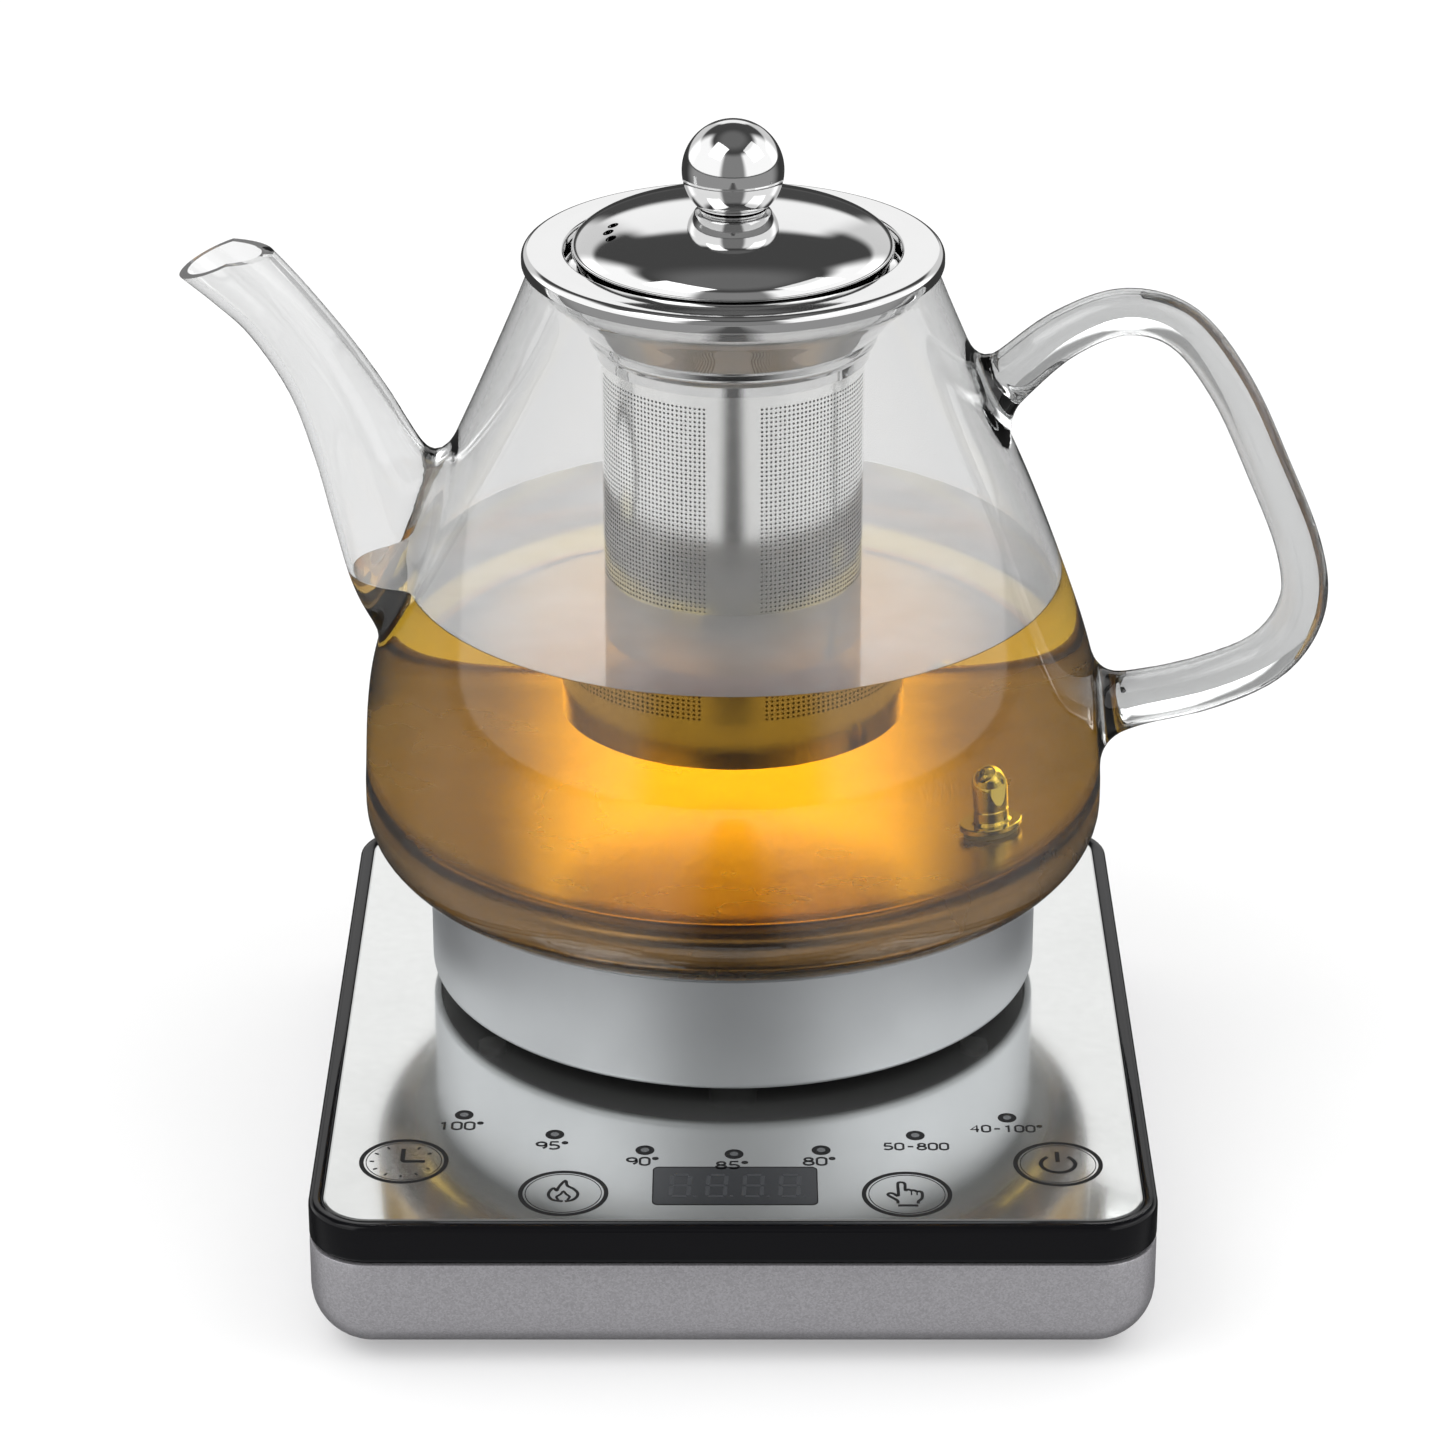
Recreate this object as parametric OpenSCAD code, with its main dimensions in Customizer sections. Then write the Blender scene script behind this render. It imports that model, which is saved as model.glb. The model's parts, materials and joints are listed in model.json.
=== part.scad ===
// Glass tea kettle with a lift-out infuser, standing on a touch-control heating base.
// +Z is up. The origin is on the kettle's turning axis, at the level of the table.
// The spout points to -X, the handle to +X, and the control panel lies towards -Y.
// The kettle's own heights are measured from the bottom edge of its skirt.

/* [Base] */
// Width of the base
base_w = 167; // [166:0.5:172]
// Distance from the kettle's axis to the front edge of the base
base_front = 112; // [112:0.5:118]
// Distance from the kettle's axis to the back edge of the base
base_back = 68; // [68:0.5:78]
// Height of the base's top face above the table
base_h = 31.5; // [31:0.5:32.5]
// Corner radius of the base in plan, and the rounding of its lower edge
base_corner_r = 12.5; // [12:0.1:12.8]
// Height of the gloss band round the top of the base
band_h = 8.4; // [8:0.1:8.8]

/* [Kettle] */
// Gap between the base's top face and the kettle's skirt
skirt_gap = 4; // [4:0.1:4.4]
// Outer radius of the metal skirt
skirt_r = 64; // [63.6:0.1:64.4]
// Height of the metal skirt
skirt_h = 27; // [26.8:0.05:27]
// Largest radius of the glass body
glass_r = 77.2; // [77:0.1:77.6]
// Thickness of the glass body's wall
glass_wall = 2.3; // [2:0.1:2.4]
// Outer radius of the glass neck
neck_r = 41; // [40.8:0.1:41.2]
// Height of the glass neck's rim
neck_z = 156.8; // [156:0.1:156.9]

/* [Spout and handle] */
// Wall of the spout
spout_wall = 1.8; // [1.4:0.1:2]
// Wall of the handle's tube
handle_wall = 1.6; // [1.2:0.1:2]

/* [Infuser and lid] */
// Outer radius of the infuser's steel rim
rim_r = 42.7; // [42.5:0.1:43.2]
// Radius of the opening in the rim
opening_r = 34.1; // [34:0.1:34.6]
// Height of the rim's top face
rim_z = 158; // [158:0.1:158.4]
// Outer radius of the infuser's straight wall
basket_r = 26.7; // [26.2:0.1:26.8]
// Height of the infuser's bottom
basket_z = 56; // [54:0.5:58]
// Radius of the lid's edge
lid_r = 32.6; // [32.4:0.1:33]
// Radius of the knob's ball
knob_r = 10.3; // [9.8:0.1:10.6]

/* [Hidden] */

fine = 96;   // facets of the large round parts
small = 48;  // facets of the small round parts
eps = 0.05;  // clearance between pieces that only touch
over = 1;    // how far a cut runs past the face that it opens

// Base
base_d = base_front + base_back;
base_y = (base_back - base_front) / 2;
shell_wall = 2.2;
shell_z = 1;                    // underside of the shell
shell_top = base_h - band_h;
floor_z = shell_z + shell_wall;
panel_t = 3;
panel_z = base_h - panel_t;
panel_margin = 2.9;             // width of the band seen round the panel
web_t = 1.8;                    // black web that carries the glass panel
web_z = panel_z - web_t;
band_wall = 2.4;
lap_in = 2.5;                   // the band's lap lies this far inside the shell
board_t = 1.6;
board_z = base_h - 10;
board_top = board_z + board_t;

foot_r = 8;
foot_h = 1.8;
foot_places = [[-49.5, -90], [49.5, -90], [-60, 45], [60, 45]];
screw_z = 4.4;                  // seat of the base screws' heads

// Control panel: the touch keys and lamps follow two arcs round the kettle
key_r = 8.9;
key_places = [[-65.5, -85.8], [-33.4, -98.5], [34.2, -98.9], [64.6, -86.9]];
led_r = 1.9;
led_places = [
    [-54.4, -66.8], [-35.8, -74.9], [-17.6, -81.3], [0.2, -82.9],
    [17.6, -81.3], [36.6, -75.3], [55.4, -68]
];
display_size = [32.4, 14.8];
display_place = [0.4, -95.6];
board_size = [146, 44];
board_place = [0, -84.5];
board_posts = [[-69, -103], [69, -103], [-24, -65], [24, -65]];

power_size = [96, 42];
power_place = [0, 36];
power_posts = [[-43, 19], [43, 19], [-43, 53], [43, 53]];
power_z = 7;
power_top = power_z + board_t;

gland_x = -42;
gland_z = 9.9;
gland_bore_r = 3.5;
gland_r = 4.5;
gland_flange_r = 5;

// Coupling between base and kettle
stalk_r = 11.9;
stalk_bore_r = 9;
stalk_top = base_h + 13;
stalk_foot = base_h - 13;
stalk_floor = stalk_foot + 2;        // floor of the stalk's bore
coupler_flange_r = 22;
coupler_flange_t = 2.3;
flange_z = web_z - coupler_flange_t;
collar_r = 16.5;
collar_gap = 0.1;
panel_hole_r = 18.3;
coupler_screw_r = 19.6;

// Kettle
kettle_z = base_h + skirt_gap;
skirt_wall = 1.6;
cover_z = 1.2;
cover_t = 2;
cover_r = skirt_r - skirt_wall - 0.2;
boss_ring_r = 58.2;
boss_angles = [90, 210, 330];
pad_ring_r = 50;
socket_r = 19;
socket_bore_r = 12.6;
socket_z = 0.6;
socket_ceiling = 12;
socket_top = 15;

corner_r = 11;                      // rounding of the glass body's lower corner
lip_r = 60.5;                       // opening in the glass body's bottom
corner_z = skirt_h + corner_r;
// Heights and radii that the glass wall passes through above its lower corner
shoulder = [[60, 76.2], [72, 73.9], [90, 67.8], [108, 60.8], [126, 52.7], [144, 44.9]];

plate_z = 39;                       // the heated floor inside the kettle
plate_t = 1;
plate_r = 67.5;
plate_round = 4.5;
flange_r = 70;
seal_z = skirt_h + glass_wall;
plate_foot = seal_z + 1;
spreader_z = 34.6;
element_ring_r = 37;
element_r = 3.5;
probe_place = [43, -14.3];
probe_r = 3.2;
stem_r = 2.5;
probe_flange_r = 5.7;

// Spout: lower edge, upper edge and half depth of each section, from the body to the lip
spout_sections = [
    [[-70.6, 75.5], [-57, 112.5], 14.5],
    [[-75.2, 78], [-60.6, 113], 14.2],
    [[-79, 86], [-63.5, 115.5], 12.8],
    [[-82.2, 98.5], [-66.5, 120.5], 11.3],
    [[-85.6, 112.8], [-70.3, 127.3], 10],
    [[-90.4, 127.3], [-77, 137.5], 8.8],
    [[-97.9, 139.6], [-85.4, 148.6], 8.2],
    [[-104.6, 146.4], [-90.5, 154.6], 8.5],
    [[-111.6, 152.4], [-95, 159.5], 9]
];
spout_hole_r = 10.5;
spout_hole_z = 94;

// Handle: place and radius of each section of the tube
handle_sections = [
    [[50.9, 126.2], 7.6],
    [[56.2, 130.4], 5.6],
    [[67, 139.4], 5],
    [[79.5, 144.2], 4.8],
    [[91.5, 140.6], 4.7],
    [[101.6, 127.6], 4.6],
    [[109.9, 110], 4.6],
    [[116.8, 92.8], 4.7],
    [[118.2, 80], 5],
    [[112.2, 69], 5.4],
    [[99.5, 62.4], 5.7],
    [[84, 58.6], 5.9],
    [[75.4, 56.8], 7.8]
];

// Infuser and lid
sheet = 0.8;
rim_edge = 1.6;                    // rounding of the rim's rolled edge
rim_skirt_z = rim_z - 3.2;
bowl = [[38, 153.5], [37, 150], [33.6, 146.3], [28.9, 141]];
bowl_collar_z = 136;
wall_t = 0.6;
wall_top = 138.5;
lid_z = 158;                       // where the dome springs from its edge
lid_rise = 8.8;
knob_z = 174.2;                    // centre of the ball
knob_foot_r = 6.9;                 // washer between the ball and the dome
knob_foot_h = 0.5;
vent_places = [[-24, -3.9], [-24.9, -6.7], [-24.3, -9.9]];
lid_skirt_r = 31.6;
lid_skirt_z = 146;
lid_skirt_top = 158.8;

// Shared shapes

module tube(r_out, r_in, z0, z1, facets = small) {
    translate([0, 0, z0]) difference() {
        cylinder(h = z1 - z0, r = r_out, $fn = facets);
        translate([0, 0, -over]) cylinder(h = z1 - z0 + 2 * over, r = r_in, $fn = facets);
    }
}

module post(r, z0, z1, facets = small) {
    translate([0, 0, z0]) cylinder(h = z1 - z0, r = r, $fn = facets);
}

module rounded_rect(w, d, r) {
    square([w - 2 * r, d], center = true);
    square([w, d - 2 * r], center = true);
    for (x = [-1, 1], y = [-1, 1])
        translate([x * (w / 2 - r), y * (d / 2 - r)]) circle(r = r, $fn = small);
}

module slab(w, d, r, z0, z1) {
    translate([0, 0, z0]) linear_extrude(z1 - z0) rounded_rect(w, d, r);
}

module spin(outline) {
    rotate_extrude($fn = fine) polygon(outline);
}

// Screw pointing up: a pan head with its seat at z, and a shank above it
module screw(head_r, head_h, shank_r, z, length) {
    post(head_r, z - head_h, z);
    post(shank_r, z, z + length);
}

function arc(centre, r, from, to, steps = 8) = [
    for (i = [0:steps])
        let (a = from + (to - from) * i / steps)
            [centre[0] + r * cos(a), centre[1] + r * sin(a)]
];

function reversed(list) = [for (i = [len(list) - 1:-1:0]) list[i]];

// One point of a smooth curve through four neighbours
function between(a, b, c, d, t) =
    0.5 * (2 * b + (c - a) * t + (2 * a - 5 * b + 4 * c - d) * t * t
        + (3 * b - a - 3 * c + d) * t * t * t);

// A smooth curve through all the points of a list
function smooth(points, steps) =
    let (n = len(points))
    concat([
        for (i = [0:n - 2], s = [0:steps - 1])
            between(
                i == 0 ? 2 * points[0] - points[1] : points[i - 1],
                points[i],
                points[i + 1],
                i == n - 2 ? 2 * points[n - 1] - points[n - 2] : points[i + 2],
                s / steps)
    ], [points[n - 1]]);

// Open tube whose sections are ellipses, each given as
// [centre x, centre z, half-axis x, half-axis z, half depth]
module swept_tube(sections, wall, sides) {
    n = len(sections);
    function ring(s, inset) =
        let (long = norm([s[2], s[3]]), k = (long - inset) / long)
        [for (j = [0:sides - 1])
            let (a = 360 * j / sides)
                [s[0] + k * s[2] * cos(a), (s[4] - inset) * sin(a), s[1] + k * s[3] * cos(a)]];
    points = concat(
        [for (s = sections) each ring(s, 0)],
        [for (s = sections) each ring(s, wall)]);
    inner = n * sides;
    faces = [
        for (i = [0:n - 2], j = [0:sides - 1])
            let (k = (j + 1) % sides, a = i * sides + j, b = i * sides + k)
                each [
                    [a, b, b + sides], [a, b + sides, a + sides],
                    [inner + a, inner + b + sides, inner + b],
                    [inner + a, inner + a + sides, inner + b + sides]
                ],
        for (j = [0:sides - 1])
            let (k = (j + 1) % sides, last = (n - 1) * sides)
                each [
                    [j, inner + j, inner + k], [j, inner + k, k],
                    [last + j, last + k, inner + last + k],
                    [last + j, inner + last + k, inner + last + j]
                ]
    ];
    polyhedron(points = points, faces = faces, convexity = 6);
}

module at_each(places) {
    for (p = places) translate([p[0], p[1], 0]) children();
}

module on_ring(r, angles) {
    for (a = angles) rotate([0, 0, a]) translate([r, 0, 0]) children();
}

module kettle() {
    translate([0, 0, kettle_z]) children();
}

module in_base() {
    translate([0, base_y, 0]) children();
}

// Base

// Rounded tray: one rounded outline goes along its sides and round its corners
module tray(w, d, r, z0, z1) {
    x = w / 2 - r;
    y = d / 2 - r;
    side = concat([[-over, z0]], arc([0, z0 + r], r, -90, 0), [[r, z1], [-over, z1]]);
    corner = concat([[0, z0]], arc([0, z0 + r], r, -90, 0), [[r, z1], [0, z1]]);
    translate([0, 0, z0]) linear_extrude(z1 - z0) square([2 * x, 2 * y], center = true);
    for (turn = [0, 180]) rotate([0, 0, turn]) {
        translate([x, 0, 0]) rotate([90, 0, 0])
            linear_extrude(2 * y, center = true) polygon(side);
        rotate([0, 0, 90]) translate([y, 0, 0]) rotate([90, 0, 0])
            linear_extrude(2 * x, center = true) polygon(side);
        for (j = [-1, 1]) translate([x, j * y, 0]) rotate_extrude($fn = small) polygon(corner);
    }
}

module base_shell() {
    inner_r = base_corner_r - shell_wall;
    color([0.64, 0.63, 0.65]) difference() {
        union() {
            difference() {
                in_base() tray(base_w, base_d, base_corner_r, shell_z, shell_top);
                in_base() tray(base_w - 2 * shell_wall, base_d - 2 * shell_wall, inner_r,
                    floor_z, shell_top + over);
            }
            at_each(foot_places) post(5.5, floor_z - eps, 13);
            at_each(power_posts) post(3, floor_z - eps, power_z);
        }
        at_each(concat(foot_places, [[0, 0]])) post(foot_r + 0.1, shell_z - over, foot_h);
        at_each(foot_places) {
            post(3.8, shell_z, screw_z);
            post(1.9, shell_z, 13 + over);
        }
        at_each(power_posts) post(1.05, floor_z + 0.5, power_z + over);
        translate([gland_x, base_back - 8, gland_z]) rotate([-90, 0, 0])
            cylinder(h = 16, r = gland_r + 0.1, $fn = small);
    }
}

module base_frame() {
    lap_w = base_w - 2 * lap_in;
    lap_d = base_d - 2 * lap_in;
    lap_r = base_corner_r - lap_in;
    chamfer = 0.6;
    panel_w = base_w - 2 * panel_margin;
    panel_d = base_d - 2 * panel_margin;
    color([0.03, 0.03, 0.03]) difference() {
        union() {
            difference() {
                union() {
                    in_base() slab(base_w, base_d, base_corner_r, shell_top, base_h - chamfer);
                    in_base() slab(base_w - 2 * chamfer, base_d - 2 * chamfer,
                        base_corner_r - chamfer, base_h - chamfer - eps, base_h);
                    in_base() slab(lap_w, lap_d, lap_r, shell_top - 2, shell_top + eps);
                }
                in_base() slab(panel_w + 0.2, panel_d + 0.2, base_corner_r - panel_margin + 0.1,
                    panel_z, base_h + over);
                in_base() slab(lap_w - 2 * band_wall, lap_d - 2 * band_wall, lap_r - band_wall,
                    shell_top - 2 - over, web_z);
            }
            at_each(foot_places) post(4.5, 13 + eps, web_z + eps);
            at_each(board_posts) post(3, board_top, web_z + eps);
        }
        post(collar_r + 0.7, web_z - over, panel_z + over);
        at_each(foot_places) post(1.75, 12, web_z - 1.2);
        at_each(board_posts) post(1.25, board_z, web_z - 0.4);
        at_each(led_places) post(led_r + 0.2, web_z - over, panel_z + over);
        at_each(key_places) post(7, web_z - over, panel_z + over);
        translate([display_place[0], display_place[1], 0])
            slab(display_size[0] + 0.4, display_size[1] + 0.4, 1.2, web_z - over, panel_z + over);
        on_ring(coupler_screw_r, [30, 150, 270]) post(1.25, web_z - over, panel_z + over);
    }
}

module glass_panel() {
    color([0.75, 0.77, 0.78]) difference() {
        in_base() slab(base_w - 2 * panel_margin, base_d - 2 * panel_margin,
            base_corner_r - panel_margin, panel_z, base_h);
        post(panel_hole_r, panel_z - over, base_h + over);
    }
}

module rubber_feet() {
    color([0.12, 0.12, 0.12]) at_each(concat(foot_places, [[0, 0]])) post(foot_r, 0, foot_h);
}

module base_screws() {
    color([0.7, 0.7, 0.72]) at_each(foot_places) screw(3.5, 2.4, 1.7, screw_z, 14);
}

module control_board() {
    color([0.08, 0.35, 0.2]) difference() {
        translate([board_place[0], board_place[1], 0])
            slab(board_size[0], board_size[1], 2, board_z, board_top);
        at_each([foot_places[0], foot_places[1]]) post(5.2, board_z - over, board_top + over);
        at_each(board_posts) post(1.3, board_z - over, board_top + over);
    }
}

module display_module() {
    color([0.05, 0.05, 0.06]) translate([display_place[0], display_place[1], 0])
        slab(display_size[0], display_size[1], 1, board_top + eps, panel_z - eps);
}

module indicator_leds() {
    color([0.9, 0.9, 0.85]) at_each(led_places) post(led_r, board_top + eps, panel_z - eps);
}

// Copper spring that carries the touch signal from the board to the glass
module touch_spring(coil_r, wire_r, z0, z1, turns) {
    steps = 14;
    sides = 6;
    n = turns * steps + 1;
    rise = z1 - z0 - 2 * wire_r;
    points = [for (i = [0:n - 1], j = [0:sides - 1])
        let (a = 360 * i / steps, b = 360 * j / sides, r = coil_r + wire_r * cos(b))
            [r * cos(a), r * sin(a), z0 + wire_r + rise * i / (n - 1) + wire_r * sin(b)]];
    faces = concat(
        [[for (j = [0:sides - 1]) j]],
        [for (i = [0:n - 2], j = [0:sides - 1])
            let (k = (j + 1) % sides, a = i * sides + j, b = i * sides + k)
                each [[a, a + sides, b + sides], [a, b + sides, b]]],
        [[for (j = [sides - 1:-1:0]) (n - 1) * sides + j]]);
    polyhedron(points = points, faces = faces, convexity = 8);
}

module touch_springs() {
    color([0.8, 0.5, 0.3]) at_each(key_places)
        touch_spring(5.5, 0.35, board_top + eps, panel_z - eps, 3);
}

module board_screws() {
    color([0.75, 0.75, 0.77]) {
        at_each(board_posts) screw(2.4, 1.4, 1.2, board_z, 4.4);
        at_each(power_posts) translate([0, 0, power_top]) mirror([0, 0, 1])
            screw(2.2, 1.4, 1, 0, 4.4);
    }
}

module buzzer() {
    color([0.1, 0.1, 0.1]) translate([0, -74, 0]) tube(4.5, 1, board_z - 4, board_z - eps);
}

module power_board() {
    color([0.1, 0.4, 0.22]) difference() {
        translate([power_place[0], power_place[1], 0])
            slab(power_size[0], power_size[1], 2, power_z, power_top);
        at_each(power_posts) post(1.1, power_z - over, power_top + over);
    }
}

module transformer() {
    color([0.85, 0.75, 0.25]) translate([-24, 36, power_top + eps]) {
        translate([-8, -7, 0]) cube([16, 14, 3]);
        translate([-5, -6, 3]) cube([10, 12, 5]);
        translate([-8, -7, 8]) cube([16, 14, 2]);
    }
}

module relay() {
    color([0.15, 0.35, 0.7]) translate([8, 50, power_top + eps]) translate([0, 0, 5])
        cube([20, 10, 10], center = true);
}

module filter_capacitor() {
    color([0.15, 0.15, 0.3]) translate([-12, 33.5, power_top + 5 + eps]) rotate([0, 90, 0])
        cylinder(h = 16, r = 5, $fn = small);
}

module mains_fuse() {
    color([0.85, 0.83, 0.75]) translate([-40, 48, power_top + 3 + eps]) rotate([0, 90, 0]) {
        cylinder(h = 14, r = 2.6, $fn = small);
        cylinder(h = 3, r = 2.9, $fn = small);
        translate([0, 0, 11]) cylinder(h = 3, r = 2.9, $fn = small);
    }
}

module triac_heatsink() {
    color([0.72, 0.73, 0.75]) translate([22, 30, power_top + eps]) {
        cube([22, 1.6, 10]);
        for (i = [0:5]) translate([i * 4, 1.5, 0]) cube([1.2, 7, 10]);
    }
}

module terminal_block() {
    color([0.2, 0.5, 0.3]) translate([-25, 46, power_top + eps]) difference() {
        cube([21, 9, 9]);
        for (i = [0:2]) translate([4 + 6.5 * i, -over, 4]) rotate([-90, 0, 0])
            cylinder(h = 9, r = 1.8, $fn = small);
    }
}

module cord_gland() {
    color([0.07, 0.07, 0.07]) translate([gland_x, base_back, gland_z]) rotate([-90, 0, 0])
        difference() {
            union() {
                translate([0, 0, -10.5]) cylinder(h = 12.5, r = gland_r, $fn = small);
                translate([0, 0, -10.5]) cylinder(h = 3, r = gland_flange_r, $fn = small);
            }
            translate([0, 0, -10.5 - over])
                cylinder(h = 12.5 + 2 * over, r = gland_bore_r, $fn = small);
        }
}

module base_coupler() {
    color([0.05, 0.05, 0.05]) difference() {
        union() {
            post(coupler_flange_r, flange_z, web_z);
            post(14, stalk_foot, flange_z + eps);
            post(stalk_r, web_z - eps, stalk_top);
        }
        post(stalk_bore_r, stalk_floor, stalk_top + over);
        on_ring(coupler_screw_r, [30, 150, 270]) post(1.3, flange_z - over, web_z + over);
    }
}

module base_contacts() {
    color([0.8, 0.65, 0.3]) {
        tube(stalk_bore_r - 0.1, 8.2, stalk_floor, stalk_top - 4);
        tube(6.3, 5.6, stalk_floor, stalk_top - 6);
        post(2, stalk_floor, stalk_top - 3);
        translate([0, 0, stalk_top - 3]) sphere(r = 2, $fn = small);
    }
}

module coupler_screws() {
    color([0.75, 0.75, 0.77]) on_ring(coupler_screw_r, [30, 150, 270])
        screw(2.2, 1.4, 1.2, flange_z, 3.6);
}

// Loose centring collar that turns with the kettle
module coupler_collar() {
    bore = stalk_r + collar_gap;
    top = base_h + 3.4;
    color([0.1, 0.1, 0.1]) spin([
        [bore, web_z + 0.2], [collar_r, web_z + 0.2], [collar_r, top - 1.2],
        [collar_r - 1.2, top], [bore + 0.6, top], [bore, top - 0.6]
    ]);
}

// Kettle, below the glass

module kettle_skirt() {
    round = 1.4;
    inner = skirt_r - skirt_wall;
    color([0.74, 0.75, 0.76]) kettle() difference() {
        union() {
            spin(concat(
                arc([skirt_r - round, round], round, -90, 0),
                [[skirt_r, skirt_h], [57, skirt_h], [57, skirt_h - skirt_wall],
                 [inner, skirt_h - skirt_wall], [inner, 0]]));
            on_ring(boss_ring_r, boss_angles)
                post(4, cover_z + cover_t + eps, skirt_h - skirt_wall + eps);
        }
        on_ring(boss_ring_r, boss_angles) post(1.4, 0, 16);
    }
}

module bottom_cover() {
    color([0.09, 0.09, 0.1]) kettle() difference() {
        tube(cover_r, socket_r + 0.2, cover_z, cover_z + cover_t, fine);
        on_ring(boss_ring_r, boss_angles) post(1.6, 0, cover_z + cover_t + over);
    }
}

module cover_screws() {
    color([0.75, 0.75, 0.77]) kettle() on_ring(boss_ring_r, boss_angles)
        screw(2.9, 1.6, 1.35, cover_z, 12);
}

module kettle_feet() {
    pad_h = skirt_gap + cover_z - 0.2;
    color([0.15, 0.15, 0.15]) kettle() on_ring(pad_ring_r, [30, 150, 270])
        post(5, cover_z - pad_h, cover_z);
}

module kettle_coupler() {
    color([0.06, 0.06, 0.06]) kettle() difference() {
        union() {
            post(socket_r, socket_z, socket_top);
            post(socket_r + 5, cover_z + cover_t, cover_z + cover_t + 1.8);
        }
        post(socket_bore_r, socket_z - over, socket_ceiling);
    }
}

module kettle_contacts() {
    color([0.8, 0.65, 0.3]) kettle() {
        tube(7.5, 7, 2, socket_ceiling);
        tube(3.2, 2.4, 2, socket_ceiling);
    }
}

// Glass

function glass_wall_outline(inset) =
    let (r = glass_r - inset, c = corner_r - inset)
    concat(
        arc([glass_r - corner_r, corner_z], c, -90, 0),
        smooth(concat([[r, corner_z + 4]],
            [for (s = shoulder) [s[1] - inset, s[0]]],
            [[neck_r - inset, neck_z - 3]]), 4),
        [[neck_r - inset, neck_z]]);

module glass_body() {
    color([0.85, 0.9, 0.92, 0.4]) kettle() difference() {
        spin(concat(
            [[lip_r, skirt_h]],
            glass_wall_outline(0),
            reversed(glass_wall_outline(glass_wall)),
            [[lip_r, seal_z]]));
        translate([-glass_r - over, 0, spout_hole_z]) rotate([0, 90, 0])
            cylinder(h = glass_r / 2, r = spout_hole_r, $fn = small);
    }
}

module glass_spout() {
    // Each section as a flat list, so that the curve can run through all of its values
    flat = [for (s = spout_sections)
        [(s[0][0] + s[1][0]) / 2, (s[0][1] + s[1][1]) / 2,
         (s[1][0] - s[0][0]) / 2, (s[1][1] - s[0][1]) / 2, s[2]]];
    color([0.85, 0.9, 0.92, 0.4]) kettle() swept_tube(smooth(flat, 3), spout_wall, 24);
}

module glass_handle() {
    flat = smooth([for (s = handle_sections) [s[0][0], s[0][1], s[1]]], 3);
    n = len(flat);
    sections = [for (i = [0:n - 1])
        let (a = flat[max(i - 1, 0)], b = flat[min(i + 1, n - 1)],
             run = [b[0] - a[0], b[1] - a[1]], across = [-run[1], run[0]] / norm(run),
             r = flat[i][2])
            [flat[i][0], flat[i][1], across[0] * r, across[1] * r, r]];
    color([0.85, 0.9, 0.92, 0.4]) kettle() swept_tube(sections, handle_wall, 20);
}

// Heater

module heating_plate() {
    round_in = plate_round - plate_t;
    color([0.6, 0.58, 0.55]) kettle() difference() {
        spin(concat(
            [[0, plate_z]],
            reversed(arc([plate_r - plate_round, plate_z - plate_round], plate_round, 0, 90)),
            arc([plate_r + 1, plate_foot + plate_t + 1], 1, 180, 270, 4),
            [[flange_r - 0.6, plate_foot + plate_t], [flange_r - 0.6, plate_foot]],
            [[plate_r - plate_t, plate_foot]],
            arc([plate_r - plate_round, plate_z - plate_round], round_in, 0, 90),
            [[0, plate_z - plate_t]]));
        translate([probe_place[0], probe_place[1], 0]) post(stem_r + 0.1, plate_z - 3, plate_z + 1);
    }
}

module plate_seal() {
    color([0.8, 0.8, 0.78]) kettle() spin([
        [lip_r - 1.6, skirt_h + eps], [lip_r - 0.1, skirt_h + eps], [lip_r - 0.1, seal_z + eps],
        [glass_r - corner_r, seal_z + eps], [68.4, seal_z + 0.45], [68.4, plate_foot],
        [lip_r - 1.6, plate_foot]
    ]);
}

module heat_spreader() {
    color([0.78, 0.79, 0.8]) kettle() difference() {
        post(56, spreader_z, plate_z - plate_t, fine);
        translate([probe_place[0], probe_place[1], 0]) post(6.5, spreader_z - over, plate_z);
    }
}

module heating_element() {
    ends = [10, 350];
    drop = spreader_z - eps - element_r;
    color([0.45, 0.43, 0.42]) kettle() {
        rotate([0, 0, ends[0]]) translate([0, 0, drop])
            rotate_extrude(angle = ends[1] - ends[0], $fn = fine)
                translate([element_ring_r, 0]) circle(r = element_r, $fn = small);
        for (a = ends) rotate([0, 0, a]) translate([element_ring_r, 0, 0])
            post(1.8, 20, drop);
    }
}

module thermal_cutout() {
    color([0.85, 0.8, 0.7]) kettle() {
        post(8.5, 28.5, spreader_z - eps);
        for (x = [-1, 1]) translate([x * 5, 0, 0]) post(1, 23, 28.5);
    }
}

module temperature_probe() {
    color([0.75, 0.74, 0.72]) kettle() translate([probe_place[0], probe_place[1], 0]) {
        post(stem_r, 31, plate_z + 1.2);
        post(probe_flange_r, plate_z + 1, plate_z + 2.2);
        post(probe_r, plate_z + 2, plate_z + 8.6);
        translate([0, 0, plate_z + 8.6]) sphere(r = probe_r, $fn = small);
    }
}

module probe_gasket() {
    color([0.7, 0.3, 0.2]) kettle() translate([probe_place[0], probe_place[1], 0])
        tube(5, stem_r + 0.1, plate_z, plate_z + 1);
}

module probe_nut() {
    color([0.7, 0.7, 0.72]) kettle() translate([probe_place[0], probe_place[1], 0])
        difference() {
            post(5, 34.8, plate_z - plate_t, 6);
            post(stem_r + 0.05, 34, plate_z);
        }
}

// Infuser

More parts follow.
